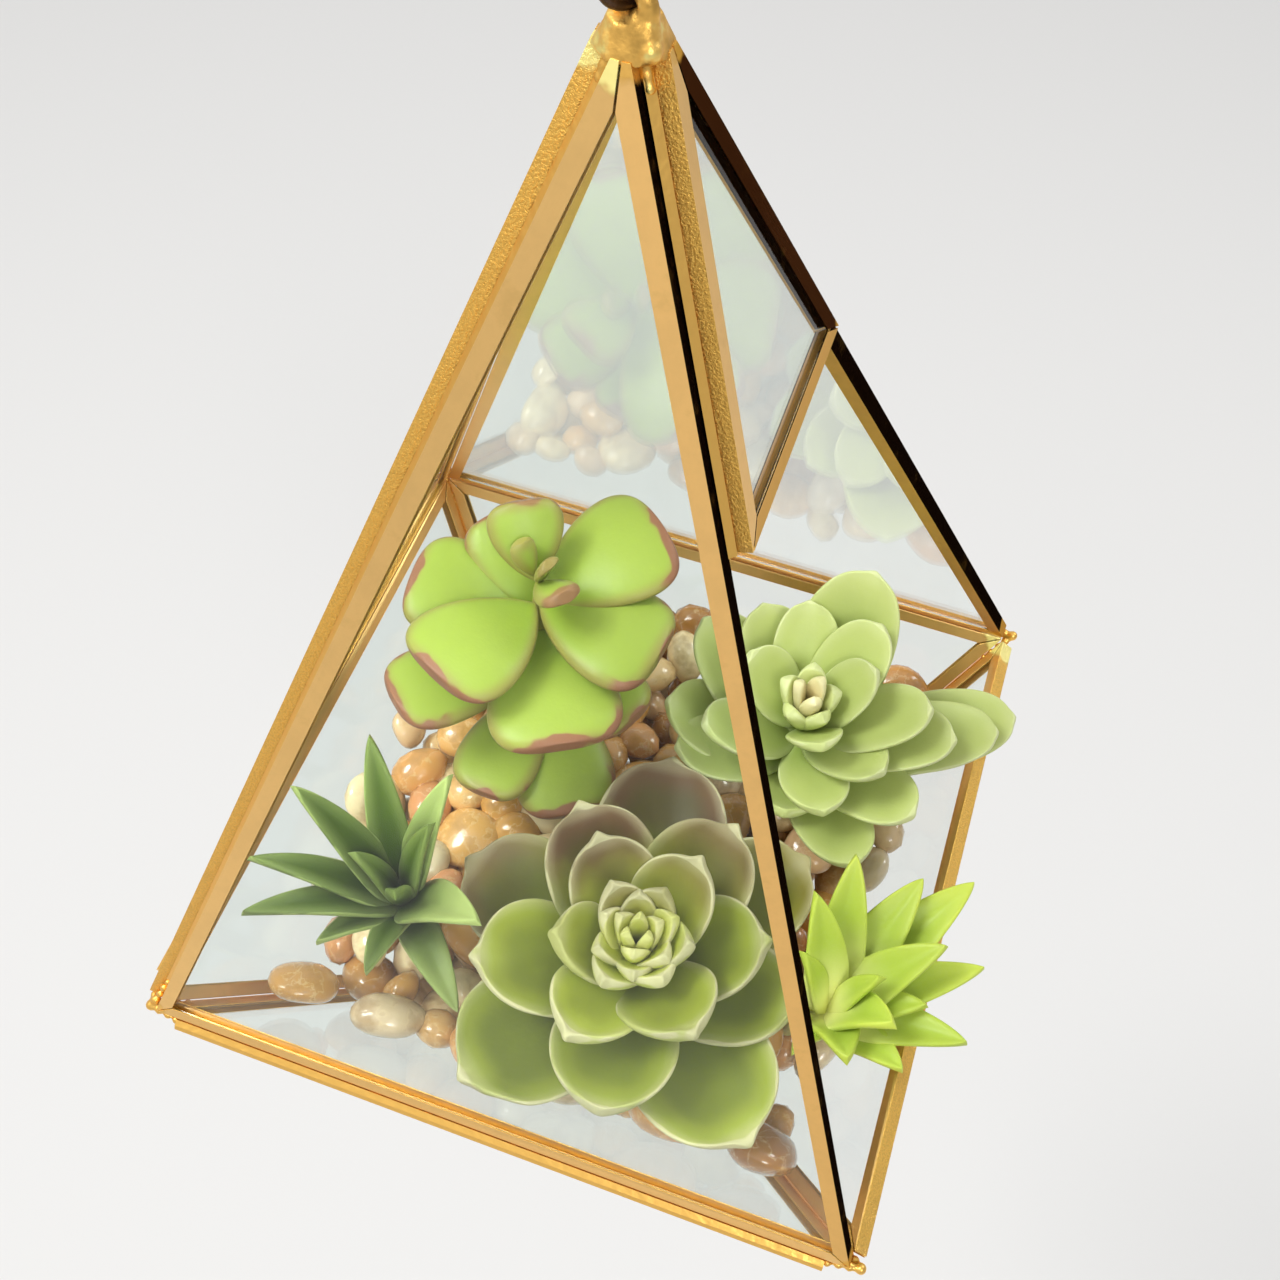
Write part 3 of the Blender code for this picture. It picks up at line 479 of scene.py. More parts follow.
def brass_material(node_name, looks):
    """Brass U channel, drawn and antiqued: fine lengthwise lines on its faces, and a granular
    back where the copper foil and flux left it rough. Solder spills over both near the joints."""
    pane, start, end = came_ends(node_name)
    normal = pane_normal(pane)
    along = (CORNERS[end] - CORNERS[start]).normalized()
    across = normal.cross(along)
    material, tree, shader = new_material("antiqued_brass_" + node_name[5:])
    coordinates = add_node(tree, "ShaderNodeTexCoord")
    place = coordinates.outputs["Object"]
    facing = math(tree, "ABSOLUTE", dot_with(tree, coordinates.outputs["Normal"], normal))
    is_face = ramp_between(tree, facing, 0.82, 0.9)
    lined = add_node(tree, "ShaderNodeCombineXYZ", {
        0: math(tree, "MULTIPLY", dot_with(tree, place, along), 0.02),
        1: dot_with(tree, place, across),
        2: dot_with(tree, place, normal),
    }).outputs[0]
    lines = noise_value(tree, lined, 0.0004, detail=3.0)
    grains = noise_value(tree, place, looks.grain, detail=3.0, roughness=0.6)
    clouds = noise_value(tree, place, 0.006, detail=5.0, roughness=0.65)
    # The far edge's came face gets the painted shade colour instead of brass.
    smooth = looks.shaded_face if node_name in SHADED_FACES else looks.flange
    face = mix_colour(tree, ramp_between(tree, clouds, 0.3, 0.7),
                      rgba([c * 0.93 for c in smooth]), rgba(smooth))
    # Painted shade: the backs of these lengths are dark brown grains instead of brass.
    dark = node_name in SHADED_BACKS
    low = looks.painted_shade if dark else [c * 0.86 for c in looks.web]
    high = [c * 3 for c in looks.painted_shade] if dark else looks.web
    back = mix_colour(tree, ramp_between(tree, grains, 0.36, 0.6), rgba(low), rgba(high))
    brass = mix_colour(tree, is_face, back, face)
    tarnish = math(tree, "MULTIPLY", ramp_between(tree, clouds, 0.55, 0.75), 0.2)
    brass = mix_colour(tree, tarnish, brass, rgba([c * 0.5 for c in looks.web]))
    spill = solder_spill(tree, place, (start, end), (start, end))
    brass = mix_colour(tree, spill, brass, rgba(looks.solder))
    bare = [corner for corner in (start, end) if (corner, pane) in PALE_JOINTS
            and (corner != "apex" or "front_left" in (start, end))]
    metal = 1.0
    if bare:
        pale = solder_spill(tree, place, bare, (start, end))
        brass = mix_colour(tree, pale, brass, rgba(looks.bright))
        metal = math(tree, "MULTIPLY_ADD", pale, -0.6, 1.0)
    rough = math(tree, "MULTIPLY_ADD", spill, -0.06, 0.52 if dark else 0.38)
    feed(tree, shader, {"Base Color": brass, "Metallic": metal, "Roughness": rough})
    # On these lengths the mirror image is tinted dark brown as well, to keep the painted shade.
    if dark:
        feed(tree, shader, {"Specular Tint": rgba(looks.shaded_face)})
    relief = math(tree, "MULTIPLY", math(tree, "SUBTRACT", 1.0, is_face), grains)
    relief = math(tree, "MULTIPLY_ADD", lines, 0.08, relief)
    lumps = noise_value(tree, place, 0.0024, detail=2.0)
    relief = math(tree, "ADD", relief, math(tree, "MULTIPLY", spill, lumps))
    bump(tree, shader, relief, 0.0002)
    return material


def spill_reach(corner, ends):
    """How far solder runs out from a joint. It runs furthest at the apex of the front left rib."""
    if corner == "apex":
        return LONG_APEX_SOLDER if "front_left" in ends else APEX_SOLDER
    if corner == "back_right":
        return LONG_CORNER_SOLDER
    if corner == "tip":
        return TIP_SOLDER
    return DOOR_SOLDER if corner.startswith("door") else CORNER_SOLDER


def solder_spill(tree, place, corners, ends):
    """Where solder covers the brass, as 0 to 1, with a ragged edge near each joint."""
    ragged = noise_value(tree, place, 0.004, detail=3.0)
    total = None
    for corner in corners:
        gap = add_node(tree, "ShaderNodeVectorMath", {0: place, 1: CORNERS[corner]},
                       operation="DISTANCE").outputs["Value"]
        edge = math(tree, "MULTIPLY_ADD", ragged, 0.004, spill_reach(corner, ends) - 0.002)
        inside = ramp_between(tree, math(tree, "SUBTRACT", edge, gap), -0.0005, 0.0005)
        total = inside if total is None else math(tree, "MAXIMUM", total, inside)
    return total


def solder_material(looks):
    """Gold-plated solder that ran and froze: soft lumps, a little uneven in tone and gloss."""
    material, tree, shader = new_material("gold_solder")
    place = object_place(tree)
    lumps = noise_value(tree, place, 0.0016, detail=3.0)
    patches = noise_value(tree, place, 0.004, detail=3.0)
    shade = mix_colour(tree, ramp_between(tree, patches, 0.3, 0.6),
                       rgba([c * 0.6 for c in looks.solder]), rgba(looks.solder))
    shade = mix_colour(tree, math(tree, "MULTIPLY", ramp_between(tree, patches, 0.52, 0.66), 0.8),
                       shade, rgba(looks.bright))
    rough = add_node(tree, "ShaderNodeMapRange", {0: patches, 1: 0.3, 2: 0.7, 3: 0.52, 4: 0.36})
    feed(tree, shader, {"Base Color": shade, "Metallic": 1.0, "Roughness": rough.outputs[0]})
    bump(tree, shader, lumps, 0.0002)
    return material


def seam_material(looks):
    """Solder of the seams and the girdle's joints: gold-plated like the caps, but even."""
    material, tree, shader = new_material("gold_solder_seam")
    ripples = noise_value(tree, object_place(tree), 0.0020, detail=2.0)
    feed(tree, shader, {"Base Color": rgba(looks.solder), "Metallic": 1.0, "Roughness": 0.36})
    bump(tree, shader, ripples, 0.00015)
    return material


def ring_material(looks):
    """Drawn steel wire with a dark antique plating, rubbed a little on its high spots."""
    material, tree, shader = new_material("antiqued_wire")
    place = object_place(tree)
    rubs = noise_value(tree, place, 0.0012, detail=4.0)
    shade = mix_colour(tree, ramp_between(tree, rubs, 0.45, 0.75), rgba(looks.ring),
                       rgba([min(1.0, c * 2.4) for c in looks.ring]))
    feed(tree, shader, {"Base Color": shade, "Metallic": 1.0, "Roughness": 0.36})
    bump(tree, shader, rubs, 0.00006)
    return material


def glass_material(name, looks, gloss):
    """Clear float glass, cut from a flat sheet: it mirrors at a low angle and lets lamps through."""
    material, tree, shader = new_material(name)
    feed(tree, shader, {"Base Color": rgba(looks.glass), "Roughness": 0.0, "IOR": 1.5,
                        "Specular Tint": rgba([gloss] * 3), "Transmission Weight": 1.0})
    ray = add_node(tree, "ShaderNodeLightPath").outputs["Is Shadow Ray"]
    clear = add_node(tree, "ShaderNodeBsdfTransparent", {0: rgba(looks.glass)})
    mixed = add_node(tree, "ShaderNodeMixShader", {0: ray, 1: shader.outputs[0],
                                                   2: clear.outputs[0]})
    tree.links.new(mixed.outputs[0], tree.nodes["Material Output"].inputs["Surface"])
    return material


def roughen(builder, amount, size, seed):
    """Push every vertex along its normal by smooth noise."""
    builder.normal_update()
    offset = Vector((seed * 3.7, seed * 1.3, seed * 5.1))
    moves = [(v, v.normal * amount * noise.noise(v.co / size + offset)) for v in builder.verts]
    for vertex, move in moves:
        vertex.co += move


def torus(builder, major, minor, centre, axis, segments, sides):
    """A ring of round wire, spun from a circle."""
    made = bmesh.ops.create_circle(builder, segments=sides, radius=minor,
                                   matrix=Matrix.Translation((major, 0, 0))
                                   @ Matrix.Rotation(pi / 2, 4, "X"))
    edges = list({edge for vertex in made["verts"] for edge in vertex.link_edges})
    bmesh.ops.spin(builder, geom=made["verts"] + edges, cent=(0, 0, 0), axis=(0, 0, 1), dvec=(0, 0, 0),
                   angle=2 * pi, steps=segments, use_merge=True, use_duplicate=False)
    bmesh.ops.remove_doubles(builder, verts=builder.verts, dist=1e-6)
    turn = Vector((0, 0, 1)).rotation_difference(Vector(axis)).to_matrix().to_4x4()
    bmesh.ops.transform(builder, verts=builder.verts, matrix=Matrix.Translation(centre) @ turn)
    bmesh.ops.recalc_face_normals(builder, faces=builder.faces)


def voxel_melt(builder, voxel):
    """Melt overlapping closed shapes into one skin."""
    item = mesh_object("melt", builder)
    modifier = item.modifiers.new("melt", "REMESH")
    modifier.mode = "VOXEL"
    modifier.voxel_size = voxel
    bpy.context.view_layer.update()
    evaluated = item.evaluated_get(bpy.context.evaluated_depsgraph_get())
    melted = bmesh.new()
    melted.from_mesh(evaluated.to_mesh())
    bpy.data.objects.remove(item, do_unlink=True)
    for _ in range(MELT_PASSES):
        bmesh.ops.smooth_vert(melted, verts=melted.verts, factor=0.5, use_axis_x=True,
                              use_axis_y=True, use_axis_z=True)
    return melted


# Stones

def bed_planes():
    """Outward normals and distances, in millimetres from the girdle's centre, round the stones."""
    planes = []
    tip = Vector((0, 0, -LOWER_HEIGHT / MM))
    for pane in [name for name in PANES if name.startswith("lower")]:
        normal = pane_normal(pane)
        planes.append((normal, normal.dot(tip) - PEBBLE_CLEARANCE))
    top = Vector((0, -BED_SLOPE, 1)).normalized()
    planes.append((top, top.dot(Vector((0, 0, BED_LEVEL + PEBBLE_SIZE.z)))))
    return planes


def lay_stone(draw, centre, facing):
    """Place, axes and half lengths of a large stone, kept off the lower panes."""
    side = facing.orthogonal().normalized()
    side.rotate(Matrix.Rotation(draw.uniform(0, pi), 3, facing))
    axes = (side, facing.cross(side), facing)
    reach = [half * draw.uniform(*PEBBLE_SIZE_RANGE) for half in PEBBLE_SIZE]
    for normal, limit in bed_planes()[:4]:
        size = sqrt(sum((half * normal.dot(axis)) ** 2 for half, axis in zip(reach, axes)))
        centre = centre - normal * max(0.0, size - (limit - normal.dot(centre)))
    return centre, axes, reach


def side_stones(draw):
    """Rows of large stones against each lower pane, from the bed's top to the tip."""
    stones = []
    half_girdle = GIRDLE_HALF / MM
    slant = sqrt((LOWER_HEIGHT / MM) ** 2 + half_girdle ** 2)
    for pane in [name for name in PANES if name.startswith("lower")]:
        tip, right, left = (CORNERS[name] / MM - Vector((0, 0, GIRDLE_LEVEL / MM))
                            for name in PANES[pane])
        along = (right - left).normalized()
        middle = (left + right) / 2
        down = (tip - middle).normalized()
        normal = pane_normal(pane)
        distance = -BED_LEVEL * slant / (LOWER_HEIGHT / MM) + PEBBLE_TOP_ROOM
        while distance < slant - PEBBLE_PITCH:
            half = half_girdle * (1 - distance / slant) - PEBBLE_EDGE_ROOM
            count = max(1, round(2 * half / PEBBLE_PITCH) + 1)
            for index in range(count):
                share = index / (count - 1) if count > 1 else 0.5
                centre = middle + down * distance + along * half * (2 * share - 1)
                centre -= normal * (PEBBLE_SIZE.z + PEBBLE_CLEARANCE)
                stones.append(lay_stone(draw, centre, normal))
            distance += PEBBLE_PITCH * sin(pi / 3)
    return stones


def top_stones(draw):
    """A loose layer of large stones over the top of the bed."""
    stones = []
    half = GIRDLE_HALF / MM * (1 + BED_LEVEL * MM / LOWER_HEIGHT) - PEBBLE_SIZE.x
    count = round(2 * half / PEBBLE_PITCH) + 1
    step = 2 * half / (count - 1)
    for row in range(count):
        for column in range(count - row % 2):
            x = -half + (column + row % 2 / 2) * step + draw.uniform(-1, 1) * PEBBLE_SCATTER
            y = -half + row * step + draw.uniform(-1, 1) * PEBBLE_SCATTER
            tilt = [draw.uniform(-PEBBLE_TILT, PEBBLE_TILT) for _ in "xy"]
            facing = Vector((*tilt, 1)).normalized()
            stone = lay_stone(draw, Vector((x, y, BED_LEVEL + BED_SLOPE * y)), facing)
            if max(abs(x), abs(y)) < half - PEBBLE_SCATTER:
                stones.append(stone)
    return stones


def set_apart(stones):
    """The stones without those that lie almost where another does."""
    kept = []
    for stone in stones:
        if all((stone[0] - other[0]).length > STONE_DISTANCE for other in kept):
            kept.append(stone)
    return kept


def settle_stones(looks, large_stones):
    """Centres and radii of small stones, pushed apart until they fill the room that is left."""
    draw = random.Random(looks.seed)
    planes = bed_planes()
    centres = []
    while len(centres) < looks.count:
        point = Vector([draw.uniform(-65, 65), draw.uniform(-65, 65), draw.uniform(-100, -10)])
        if all(normal.dot(point) < limit - looks.small / MM for normal, limit in planes):
            centres.append(point)
    radii = np.array([draw.uniform(looks.small / MM, looks.large / MM) for _ in centres])
    places = np.array(centres)
    stems = [(np.array(p["axis"], float), p["stem"][0] + 0.4) for p in PLANTS.values()]
    for _ in range(SETTLE_PASSES):
        apart = places[:, None] - places[None]
        gap = np.linalg.norm(apart, axis=2) + np.eye(len(places)) * 1e6
        push = np.clip((radii[:, None] + radii[None]) * 0.92 - gap, 0, None) / gap
        places = places + 0.25 * (apart * push[:, :, None]).sum(axis=1)
        for centre, axes, reach in large_stones:
            turned = (places - np.array(centre)) @ np.array(axes).T
            room = np.array(reach) * looks.share + radii[:, None] * 0.75
            share = np.linalg.norm(turned / room, axis=1) + 1e-6
            places += np.clip(1 / share - 1, 0, 0.15)[:, None] * (turned @ np.array(axes))
        for axis, radius in stems:
            flat = places[:, :2] - axis
            off = np.linalg.norm(flat, axis=1) + 1e-6
            need = np.clip(radius + radii * 0.8 - off, 0, None)
            places[:, :2] += flat / off[:, None] * need[:, None]
        for normal, limit in planes:
            over = np.clip(places @ np.array(normal) - (limit - radii * 0.86), 0, None)
            places = places - over[:, None] * np.array(normal)
    return [(Vector(place), radius) for place, radius in zip(places, radii)]


def add_stone(builder, layers, stone, subdivisions, draw):
    """One water-worn stone: a flattened, slightly uneven ball."""
    centre, axes, reach = stone
    made = bmesh.ops.create_icosphere(builder, subdivisions=subdivisions, radius=1.0)
    turn = Matrix(axes).transposed()
    seed = Vector([draw.uniform(0, 50) for _ in range(3)])
    tone = draw.random()
    for vertex in made["verts"]:
        uneven = 1 + 0.22 * noise.noise(vertex.co * 0.8 + seed)
        place = Vector([part * half * uneven for part, half in zip(vertex.co, reach)])
        vertex.co = (centre + turn @ place) * MM + Vector((0, 0, GIRDLE_LEVEL))
        vertex[layers["tone"]] = tone
        vertex[layers["seed"]] = seed.x


def small_stone(draw, centre, radius, planes):
    """Axes and half lengths of a small stone, which lies flat against a near wall."""
    facing = Vector([draw.gauss(0, 1) for _ in range(3)]).normalized()
    reach = [radius * draw.uniform(low, high) for low, high in ((1.1, 1.4), (0.9, 1.1), (0.7, 0.85))]
    gap, wall = min(((limit - normal.dot(centre), normal) for normal, limit in planes),
                    key=lambda entry: entry[0])
    if gap < radius * 1.4:
        facing = (wall + facing * 0.25).normalized()
        centre = centre + wall * max(0.0, gap - reach[2] * 1.1)
    side = facing.orthogonal().normalized()
    side.rotate(Matrix.Rotation(draw.uniform(0, pi), 3, facing))
    return centre, (side, facing.cross(side), facing), reach


def stone_material(looks):
    """Polished river pebbles, quartz and jasper: each of one tone, clouded, some with veins."""
    material, tree, shader = new_material("river_pebbles")
    place = object_place(tree)
    tone = add_node(tree, "ShaderNodeAttribute", attribute_name="tone").outputs["Fac"]
    seed = add_node(tree, "ShaderNodeAttribute", attribute_name="seed").outputs["Fac"]
    stops = [(0.0, looks.brown), (0.14, [c * 0.8 for c in looks.tan]), (0.30, looks.tan),
             (0.46, looks.cream), (0.60, looks.pink), (0.72, looks.tan), (0.84, looks.grey),
             (0.94, looks.cream)]
    shade = add_node(tree, "ShaderNodeValToRGB", {0: tone}, stops=stops).outputs[0]
    shifted = add_node(tree, "ShaderNodeVectorMath", {0: place, 1: seed}, operation="ADD").outputs[0]
    clouds = noise_value(tree, shifted, 0.006, detail=5.0, roughness=0.6)
    shade = mix_colour(tree, math(tree, "MULTIPLY", ramp_between(tree, clouds, 0.42, 0.72), 0.55),
                       shade, rgba([c * 0.45 for c in looks.tan]))
    veins = math(tree, "ABSOLUTE", math(tree, "SUBTRACT", clouds, 0.5))
    shade = mix_colour(tree, math(tree, "MULTIPLY", ramp_between(tree, veins, 0.02, 0.0), 0.35),
                       shade, rgba(looks.cream))
    feed(tree, shader, {"Base Color": shade, "Roughness": 0.2, "IOR": 1.54, "Coat Weight": 0.8,
                        "Coat Roughness": 0.06})
    bump(tree, shader, noise_value(tree, place, 0.0018, detail=3.0), 0.00012)
    return material


# Leaves

def leaf_limits():
    """Planes round the leaves' room, as outward normal and distance in millimetres."""
    limits = []
    apex = Vector((0, 0, UPPER_HEIGHT / MM))
    wall = CAME_THICKNESS / MM
    for pane in ("upper_front", "upper_left", "upper_back"):
        normal = pane_normal(pane)
        limits.append((normal, normal.dot(apex) - wall - LEAF_CLEARANCE))
    below = Vector((0, BED_SLOPE, -1)).normalized()
    limits.append((below, below.dot(Vector((0, 0, BED_LEVEL + 6.67))) - LEAF_CLEARANCE))
    over_sill = Vector((SILL_SLOPE, 0, -1)).normalized()
    sill = Vector((1, 1, 0)) * GIRDLE_HALF / MM - pane_normal("lower_right") * wall
    limits.append((over_sill, over_sill.dot(sill) - LEAF_CLEARANCE))
    return limits


def bend_clear(ring, limits):
    """Move one cross-section of a leaf to the near side of every plane."""
    shift = Vector((0, 0, 0))
    for normal, limit in limits * 2:
        excess = max(normal.dot(point + shift) for point in ring) - limit
        shift -= normal * max(0.0, excess)
    return [point + shift for point in ring]


def leaf_width(share, outline):
    """Share of the leaf's full width at a share of its length."""
    foot, end = OUTLINES[outline]
    widest = foot / (foot + end)
    return (share / widest) ** foot * ((1 - share) / (1 - widest)) ** end


def curve_point(share, start, middle, end):
    return start * (1 - share) ** 2 + middle * 2 * share * (1 - share) + end * share ** 2


def curve_slope(share, start, middle, end):
    return ((middle - start) * (1 - share) + (end - middle) * share).normalized()


def add_leaf(builder, layers, recipe, whorl, leaf, rank, limits, draw):
    """A fleshy leaf: a ball drawn out along a curve, cupped, with a full margin and a fine point."""
    foot_height, thickness, droop, _ = whorl
    azimuth, reach, tip_height, width = leaf
    outline = recipe["outline"]
    outward = Vector((cos(radians(azimuth)), sin(radians(azimuth)), 0))
    sideways = Vector((-outward.y, outward.x, 0))
    centre = Vector((*recipe["axis"], 0))
    foot = centre + Vector((0, 0, foot_height)) + outward * LEAF_FOOT_RADIUS
    tip = centre + Vector((0, 0, tip_height)) + outward * reach
    middle = (foot + tip) / 2 - Vector((0, 0, droop))
    made = bmesh.ops.create_uvsphere(builder, u_segments=20, v_segments=24, radius=1.0)
    rings = {}
    for vertex in made["verts"]:
        rings.setdefault(round(vertex.co.z, 4), []).append(vertex)
    seed = Vector([draw.uniform(0, 50) for _ in range(3)])
    tone = draw.random()
    leaf_length = (tip - foot).length
    squareness = min(1.0, max(0.0, width / 8 - 0.75))
    blush = max(0.0, cos(radians(azimuth - recipe["blush"])))
    for height, ring in rings.items():
        share = 1 - (0.5 - height / 2) ** 1.3
        breadth = leaf_width(share, outline)
        slope = curve_slope(share, foot, middle, tip)
        upward = slope.cross(sideways).normalized()
        spine = curve_point(share, foot, middle, tip)
        spine += upward * recipe["curl"] * width / 25 * max(0.0, share - 0.55) ** 2 / 0.2
        end = max(0.0, share - POINT_START) / (1 - POINT_START)
        spine += (slope + upward * 0.4) * recipe["point"] * end * min(1.0, width / 20)
        section = []
        for vertex in ring:
            across, through = vertex.co.xy.normalized() if len(ring) > 1 else (0.0, 0.0)
            across = copysign(abs(across) ** (1 - 0.2 * squareness), across)
            through = copysign(abs(through) ** (1 - 0.3 * squareness), through)
            lift = thickness * recipe["fullness"] / 2 * through
            lift *= LEAF_MARGIN_SHARE + (1 - LEAF_MARGIN_SHARE) * breadth
            cup = recipe["cup"] * min(1.0, share / CUPPED_FROM)
            lift += cup * width / 2 * breadth * abs(across) ** recipe["fold"]
            sway = noise.noise(spine * 0.09 + sideways * across * 0.8 + seed)
            lift += sway * min(0.5, width * 0.03) * share
            half = across * breadth * width / 2
            section.append(spine + upward * lift + sideways * half)
            edge = min((1 - abs(across)) * breadth * width / 2, (1 - share) * leaf_length)
            vertex[layers["edge"]] = edge
            vertex[layers["along"]] = share
            vertex[layers["rank"]] = rank
            vertex[layers["tone"]] = tone
            vertex[layers["blush"]] = blush
        for vertex, point in zip(ring, bend_clear(section, limits)):
            vertex.co = point * MM + Vector((0, 0, GIRDLE_LEVEL))


def add_stem(builder, recipe):
    radius, top, depth, lean = recipe["stem"]
    x, y = recipe["axis"]
    foot = Vector((x - lean, y, BED_LEVEL + BED_SLOPE * y - depth))
    head = Vector((x, y, top))
    along = (head - foot).normalized()
    turn = Vector((0, 0, 1)).rotation_difference(along).to_matrix().to_4x4()
    middle = (head + foot) / 2 * MM + Vector((0, 0, GIRDLE_LEVEL))
    bmesh.ops.create_cone(builder, cap_ends=True, segments=20, radius1=radius * MM,
                          radius2=radius * MM * 0.8, depth=(head - foot).length * MM,
                          matrix=Matrix.Translation(middle) @ turn)


def grow_plant(name, looks):
    """Build one plant's leaves and stem, and let it stand for its solid."""
    recipe = PLANTS[name]
    builder = bmesh.new()
    layers = {key: builder.verts.layers.float.new(key) for key in LEAF_LAYERS}
    draw = random.Random(name)
    limits = leaf_limits()
    count = len(recipe["whorls"])
    for index, whorl in enumerate(recipe["whorls"]):
        for leaf in whorl[3]:
            add_leaf(builder, layers, recipe, whorl, leaf, index / (count - 1), limits, draw)
    add_stem(builder, recipe)
    plant = finish_piece(builder, name + "_leaves", leaf_material(name, looks),
                         "terrarium", name)
    smooth = plant.modifiers.new("smooth", "SUBSURF")
    smooth.levels = 1
    smooth.render_levels = 1
    return plant


def leaf_material(name, looks):
    """Moulded soft plastic, sprayed in thin coats: darker feet, a painted margin, fine mottling. The
    cups of the outer leaves get painted shade, and a band along the margins gets painted light.
    """
    recipe = PLANTS[name]
    foot, blade, rim, tip, heart = (rgba(getattr(looks, recipe["paint"] + "_" + shade))
                                    for shade in recipe["shades"])
    width, depth, rim_from = recipe["margin"]
    strength, ends_from, ends_full = recipe["ends"]
    hollows = recipe["hollows"]
    material, tree, shader = new_material(recipe["plastic"])
    place = object_place(tree)
    edge, along, rank, tone, blush = (
        add_node(tree, "ShaderNodeAttribute", attribute_name=key).outputs["Fac"]
        for key in LEAF_LAYERS)
    clouds = noise_value(tree, place, 0.007, detail=4.0)
    specks = noise_value(tree, place, 0.0007, detail=3.0)
    young = ramp_between(tree, rank, recipe["heart_from"], 1.0)
    shade = mix_colour(tree, math(tree, "MULTIPLY", young, 0.9), blade, heart)
    # Towards its foot each leaf takes its foot colour; on the front rosette that dark colour is partly
    # painted shade under the overlapping leaves.
    shade = mix_colour(tree, ramp_between(tree, along, 0.05, 0.65), foot, shade)
    drift = math(tree, "MULTIPLY_ADD", clouds, 0.3, along)
    blushing = math(tree, "MULTIPLY", ramp_between(tree, drift, ends_from, ends_full),
                    math(tree, "MULTIPLY", math(tree, "SUBTRACT", 1.0, rank), blush))
    blushing = math(tree, "MULTIPLY", blushing, strength, clamp=True)
    shade = mix_colour(tree, blushing, shade, tip)
    # A soft band about 3 mm wide that fades into the margin colour. On the front and right rosettes it
    # is painted light, the glow of thin margins lit through; on the paddle plant it widens the brown
    # paint.
    inner = ramp_between(tree, edge, 0.0, 3.2)
    soft = math(tree, "MULTIPLY_ADD", inner, -depth * 0.5, depth * 0.5)
    shade = mix_colour(tree, soft, shade, rim)
    # Painted shade: away from the margins the cups of the older leaves darken towards the foot colour,
    # where the leaves above shade them.
    hollow = math(tree, "MULTIPLY", ramp_between(tree, edge, 1.5, 8.0),
                  math(tree, "MULTIPLY_ADD", rank, -hollows, hollows, clamp=True))
    shade = mix_colour(tree, hollow, shade, foot)
    patches = noise_value(tree, place, 0.011, detail=2.0)
    ragged = math(tree, "MULTIPLY_ADD", patches, width * 7, -width * 2.6)
    line = ramp_between(tree, math(tree, "SUBTRACT", ragged, edge), 0.0, width * 0.5)
    line = math(tree, "MULTIPLY", line, ramp_between(tree, drift, rim_from, rim_from + 0.15))
    old = math(tree, "MULTIPLY_ADD", ramp_between(tree, rank, 0.7, 1.0), -0.7, 1.0)
    line = math(tree, "MULTIPLY", line, old)
    shade = mix_colour(tree, math(tree, "MULTIPLY", line, depth), shade, rim)
    dimmed = add_node(tree, "ShaderNodeHueSaturation", {
        "Value": add_node(tree, "ShaderNodeMapRange", {0: tone, 3: 0.88, 4: 1.06}).outputs[0],
        "Saturation": add_node(tree, "ShaderNodeMapRange", {0: specks, 3: 0.96, 4: 1.05}).outputs[0],
        "Color": shade}).outputs[0]
    polish = ramp_between(tree, rank, 0.85, 0.95)
    blade_gloss, heart_gloss = recipe["gloss"]
    rough = add_node(tree, "ShaderNodeMapRange", {0: polish, 3: blade_gloss, 4: heart_gloss})
    feed(tree, shader, {"Base Color": dimmed, "Roughness": rough.outputs[0], "IOR": 1.47,
                        "Specular IOR Level": 0.25, "Subsurface Weight": 0.08,
                        "Subsurface Radius": (1.0, 1.0, 0.5), "Subsurface Scale": 0.0015})
    bump(tree, shader, math(tree, "ADD", specks, clouds), 0.00003)
    return material


# Operators

class TERRARIUM_OT_brass(bpy.types.Operator):
    """Round the came's edges a little and give each length its antiqued brass"""
    bl_idname = "terrarium.brass"
    bl_label = "Brass came"

    def execute(self, context):
        looks = context.scene.terrarium_body
        for name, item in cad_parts.items():
            if not name.startswith("came_"):
                continue
            weld = item.modifiers.new("weld", "WELD")
            weld.merge_threshold = 1e-6
            bevel = item.modifiers.new("bevel", "BEVEL")
            bevel.width = looks.bevel
            bevel.segments = 2
            bevel.limit_method = "ANGLE"
            bevel.angle_limit = radians(40)
            item.data.materials.clear()
            item.data.materials.append(brass_material(name, looks))
        return {"FINISHED"}


def seam_end(name, corner):
    """The middle of a seam's end nearest to a corner, and the seam's direction from there."""
    points = [vertex.co.copy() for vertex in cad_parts[name].data.vertices]
    points.sort(key=lambda point: (point - CORNERS[corner]).length)
    near = sum(points[:len(points) // 2], Vector()) / (len(points) // 2)
    far = sum(points[len(points) // 2:], Vector()) / (len(points) - len(points) // 2)
    return near, (far - near).normalized()


def add_ball(builder, centre, radius):
    bmesh.ops.create_icosphere(builder, subdivisions=3, radius=radius,
                               matrix=Matrix.Translation(centre))


def add_lumps(builder, corner, source, radii):
    """Balls of solder from the middle of a joint to the ends of the seams that meet there."""
    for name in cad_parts:
        if not name.startswith("seam_") or corner not in seam_corners(name):
            continue
        end, along = seam_end(name, corner)
        if (end - source).length > LUMP_RUN:
            continue
        target = end + along * LUMP_OVERLAP
        for index, radius in enumerate(radii):
            share = index / (len(radii) - 1)
            add_ball(builder, source.lerp(target, share), radius)


def seam_corners(name):
    kind, place = name.split("_", 2)[1:]
    if kind == "girdle":
        ends = {"front": ("front_left", "front_right"), "left": ("back_left", "front_left"),
                "back": ("back_right", "back_left")}
        return ends[place]
    return ("apex" if kind == "rib" else "tip", place)


